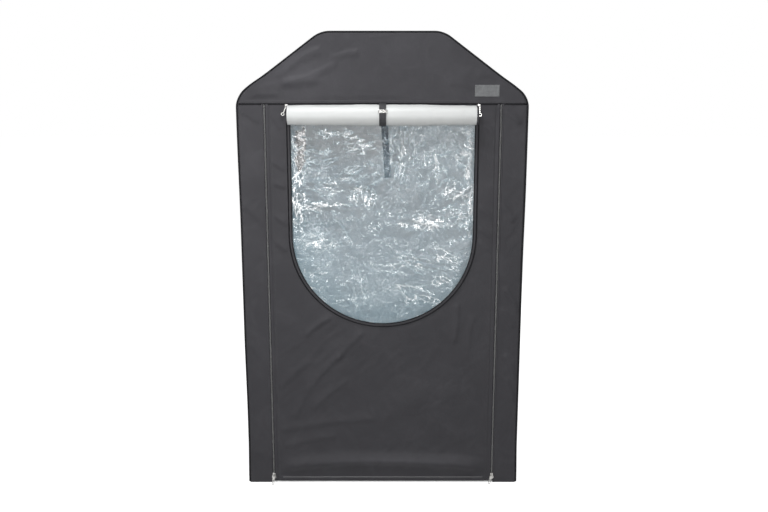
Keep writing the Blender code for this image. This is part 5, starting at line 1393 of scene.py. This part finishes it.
def build_flap():
    """Flap over the low vent."""
    box_low, box_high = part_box("vent_flap")

    def on_flap(x, z, lift):
        hang = FLAP_HANG * smooth((box_high.z - 0.04 - z) / 0.18) * (0.5 + 0.5 * np.cos(x * 14))
        waves = FLAP_WAVES * layered_noise(x * 14, z * 16, 121) * faded(0.03, box_high.z - z)
        return np.stack([x, box_high.y + lift + hang + waves, z], -1)

    x, z = np.meshgrid(spaced(box_low.x, box_high.x, 0.008), spaced(box_low.z, box_high.z, 0.008))
    edge = np.minimum(box_high.x - np.abs(x), np.minimum(z - box_low.z, box_high.z - z))
    outer = on_flap(x, z, FLAP_HEM * (1 - smooth((edge - 0.012) / 0.003)))
    flap = shell("flap", outer, OUTWARD, FLAP_THICKNESS, GREY_CLOTH, "vent_flap_body")
    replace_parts(flap, "vent_flap")
    left, right = box_low.x + FLAP_BORDER, box_high.x - FLAP_BORDER
    bottom, top = box_low.z + FLAP_BORDER, box_high.z - FLAP_BORDER
    corners = [(left, top), (left, bottom), (right, bottom), (right, top), (left, top)]
    lift = FLAP_HEM + SEAM_LIFT
    rows = [on_flap(*np.linspace(start, end, 40).T, lift) for start, end in zip(corners, corners[1:])]
    stitches("flap_stitches", rows, "vent_flap_body", INWARD)


NET_PITCH = 0.0016
NET_WIRE = 0.0003


def build_net():
    """Net of the vent: upright threads in front of level ones."""
    box_low, box_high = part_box("vent_mesh")
    middle, half = (box_low.y + box_high.y) / 2, NET_WIRE / 2
    cubes = []
    for x in spaced(box_low.x + half, box_high.x - half, NET_PITCH):
        cubes.append(((x - half, middle - NET_WIRE, box_low.z), (x + half, middle, box_high.z)))
    for z in spaced(box_low.z + half, box_high.z - half, NET_PITCH):
        cubes.append(((box_low.x, middle, z - half), (box_high.x, middle + NET_WIRE, z + half)))
    one = ((0, 1, 3, 2), (4, 6, 7, 5), (0, 4, 5, 1), (2, 3, 7, 6), (0, 2, 6, 4), (1, 5, 7, 3))
    points, faces = [], []
    for number, cube in enumerate(cubes):
        points += [[cube[corner >> axis & 1][axis] for axis in range(3)] for corner in range(8)]
        faces += [[8 * number + i for i in face] for face in one]
    net = make_object("net", points, faces, NET)
    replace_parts(net, "vent_mesh")


build_sleeve()
build_flap()
build_net()


# Frame, lamp bars and sliders keep their CAD solids
CAD_FINISHES = {
    FRAME_PAINT: ("tube", "upright", "rafter", "lamp_bar"),
    CONNECTOR: ("corner", "elbow"),
    NICKEL: ("slider", "pull"),
}


def dress_cad_nodes():
    """Give the CAD nodes that stay their finishes."""
    for name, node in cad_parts.items():
        for finish, words in CAD_FINISHES.items():
            if not node.hide_render and any(word in name for word in words):
                for place in node.material_slots:
                    place.material = finish


dress_cad_nodes()


# Studio

AMBIENT = 0.14
FLOOR_GREY = 0.55
FLOOR_GLOW = 0.93
FLOOR_REACH = 40.0


def seen_rays(tree):
    """Share that is 1 for rays that show the background: straight, mirrored or through glass."""
    rays = add(tree, "ShaderNodeLightPath").outputs
    return maths(tree, "MAXIMUM", *[rays[f"Is {kind} Ray"] for kind in ("Camera", "Glossy", "Transmission")])


def build_floor_plane():
    """Pale studio floor that shows white with the object's shadow on it."""
    mesh = bpy.data.meshes.new("studio_floor")
    corners = [(x * FLOOR_REACH, y * FLOOR_REACH, 0) for x, y in ((-1, -1), (1, -1), (1, 1), (-1, 1))]
    mesh.from_pydata(corners, [], [(0, 1, 2, 3)])
    floor = bpy.data.objects.new("studio_floor", mesh)
    bpy.context.scene.collection.objects.link(floor)
    made = bpy.data.materials.new("studio_floor")
    made.use_nodes = True
    tree = made.node_tree
    tree.nodes.clear()
    pale = add(tree, "ShaderNodeBsdfDiffuse", Color=(FLOOR_GREY, FLOOR_GREY, FLOOR_GREY, 1)).outputs[0]
    white = add(tree, "ShaderNodeEmission", Color=(1, 1, 1, 1), Strength=FLOOR_GLOW).outputs[0]
    both = add(tree, "ShaderNodeAddShader", pale, white).outputs[0]
    mix = add(tree, "ShaderNodeMixShader", seen_rays(tree), pale, both).outputs[0]
    add(tree, "ShaderNodeOutputMaterial", mix)
    mesh.materials.append(made)


def build_world():
    """Even light from all round, seen as white."""
    world = bpy.data.worlds.new("studio")
    bpy.context.scene.world = world
    world.use_nodes = True
    tree = world.node_tree
    tree.nodes.clear()
    strength = maths(tree, "ADD", maths(tree, "MULTIPLY", seen_rays(tree), 1.0 - AMBIENT), AMBIENT)
    background = add(tree, "ShaderNodeBackground", Color=(1, 1, 1, 1), Strength=strength)
    add(tree, "ShaderNodeOutputWorld", background.outputs[0])


def place_in_scene(name, data, place):
    """Object for a lamp's or camera's data."""
    made = bpy.data.objects.new(name, data)
    made.location = place
    bpy.context.scene.collection.objects.link(made)
    return made


def build_lamps():
    """Square softboxes, each with its place, its target, its size and its power."""
    for name, place, target, size, power in (
        ("left", (-1.40, -1.90, 1.45), (0.0, -0.45, 1.0), 0.35, 9.8),
        ("front", (-0.12, -4.30, 1.38), (0.0, -0.45, 1.2), 0.42, 34.0),
        ("right", (1.20, -4.20, 1.75), (0.0, -0.45, 1.2), 0.25, 14.0),
        ("top", (-0.30, -1.40, 3.20), (0.0, -0.45, 1.1), 0.80, 26.0),
        ("rear", (0.90, 3.40, 2.10), (0.0, 0.45, 1.0), 0.80, 55.0),
    ):
        data = bpy.data.lights.new(name, "AREA")
        data.shape, data.size, data.energy = "SQUARE", size, power
        direction = Vector(target) - Vector(place)
        place_in_scene(name, data, place).rotation_euler = direction.to_track_quat("-Z", "Y").to_euler()


def build_camera():
    """Camera at the photograph's place."""
    data = bpy.data.cameras.new("camera")
    data.sensor_width = SENSOR_WIDTH_MM
    data.lens = FOCAL_LENGTH_PIXELS / PHOTO_WIDTH * SENSOR_WIDTH_MM
    camera = place_in_scene("camera", data, CAMERA_PLACE)
    camera.rotation_euler = (math.radians(90 - CAMERA_TILT_DEG), 0, 0)
    bpy.context.scene.camera = camera


build_floor_plane()
build_world()
build_lamps()
build_camera()
bpy.context.scene.view_settings.view_transform = "Standard"
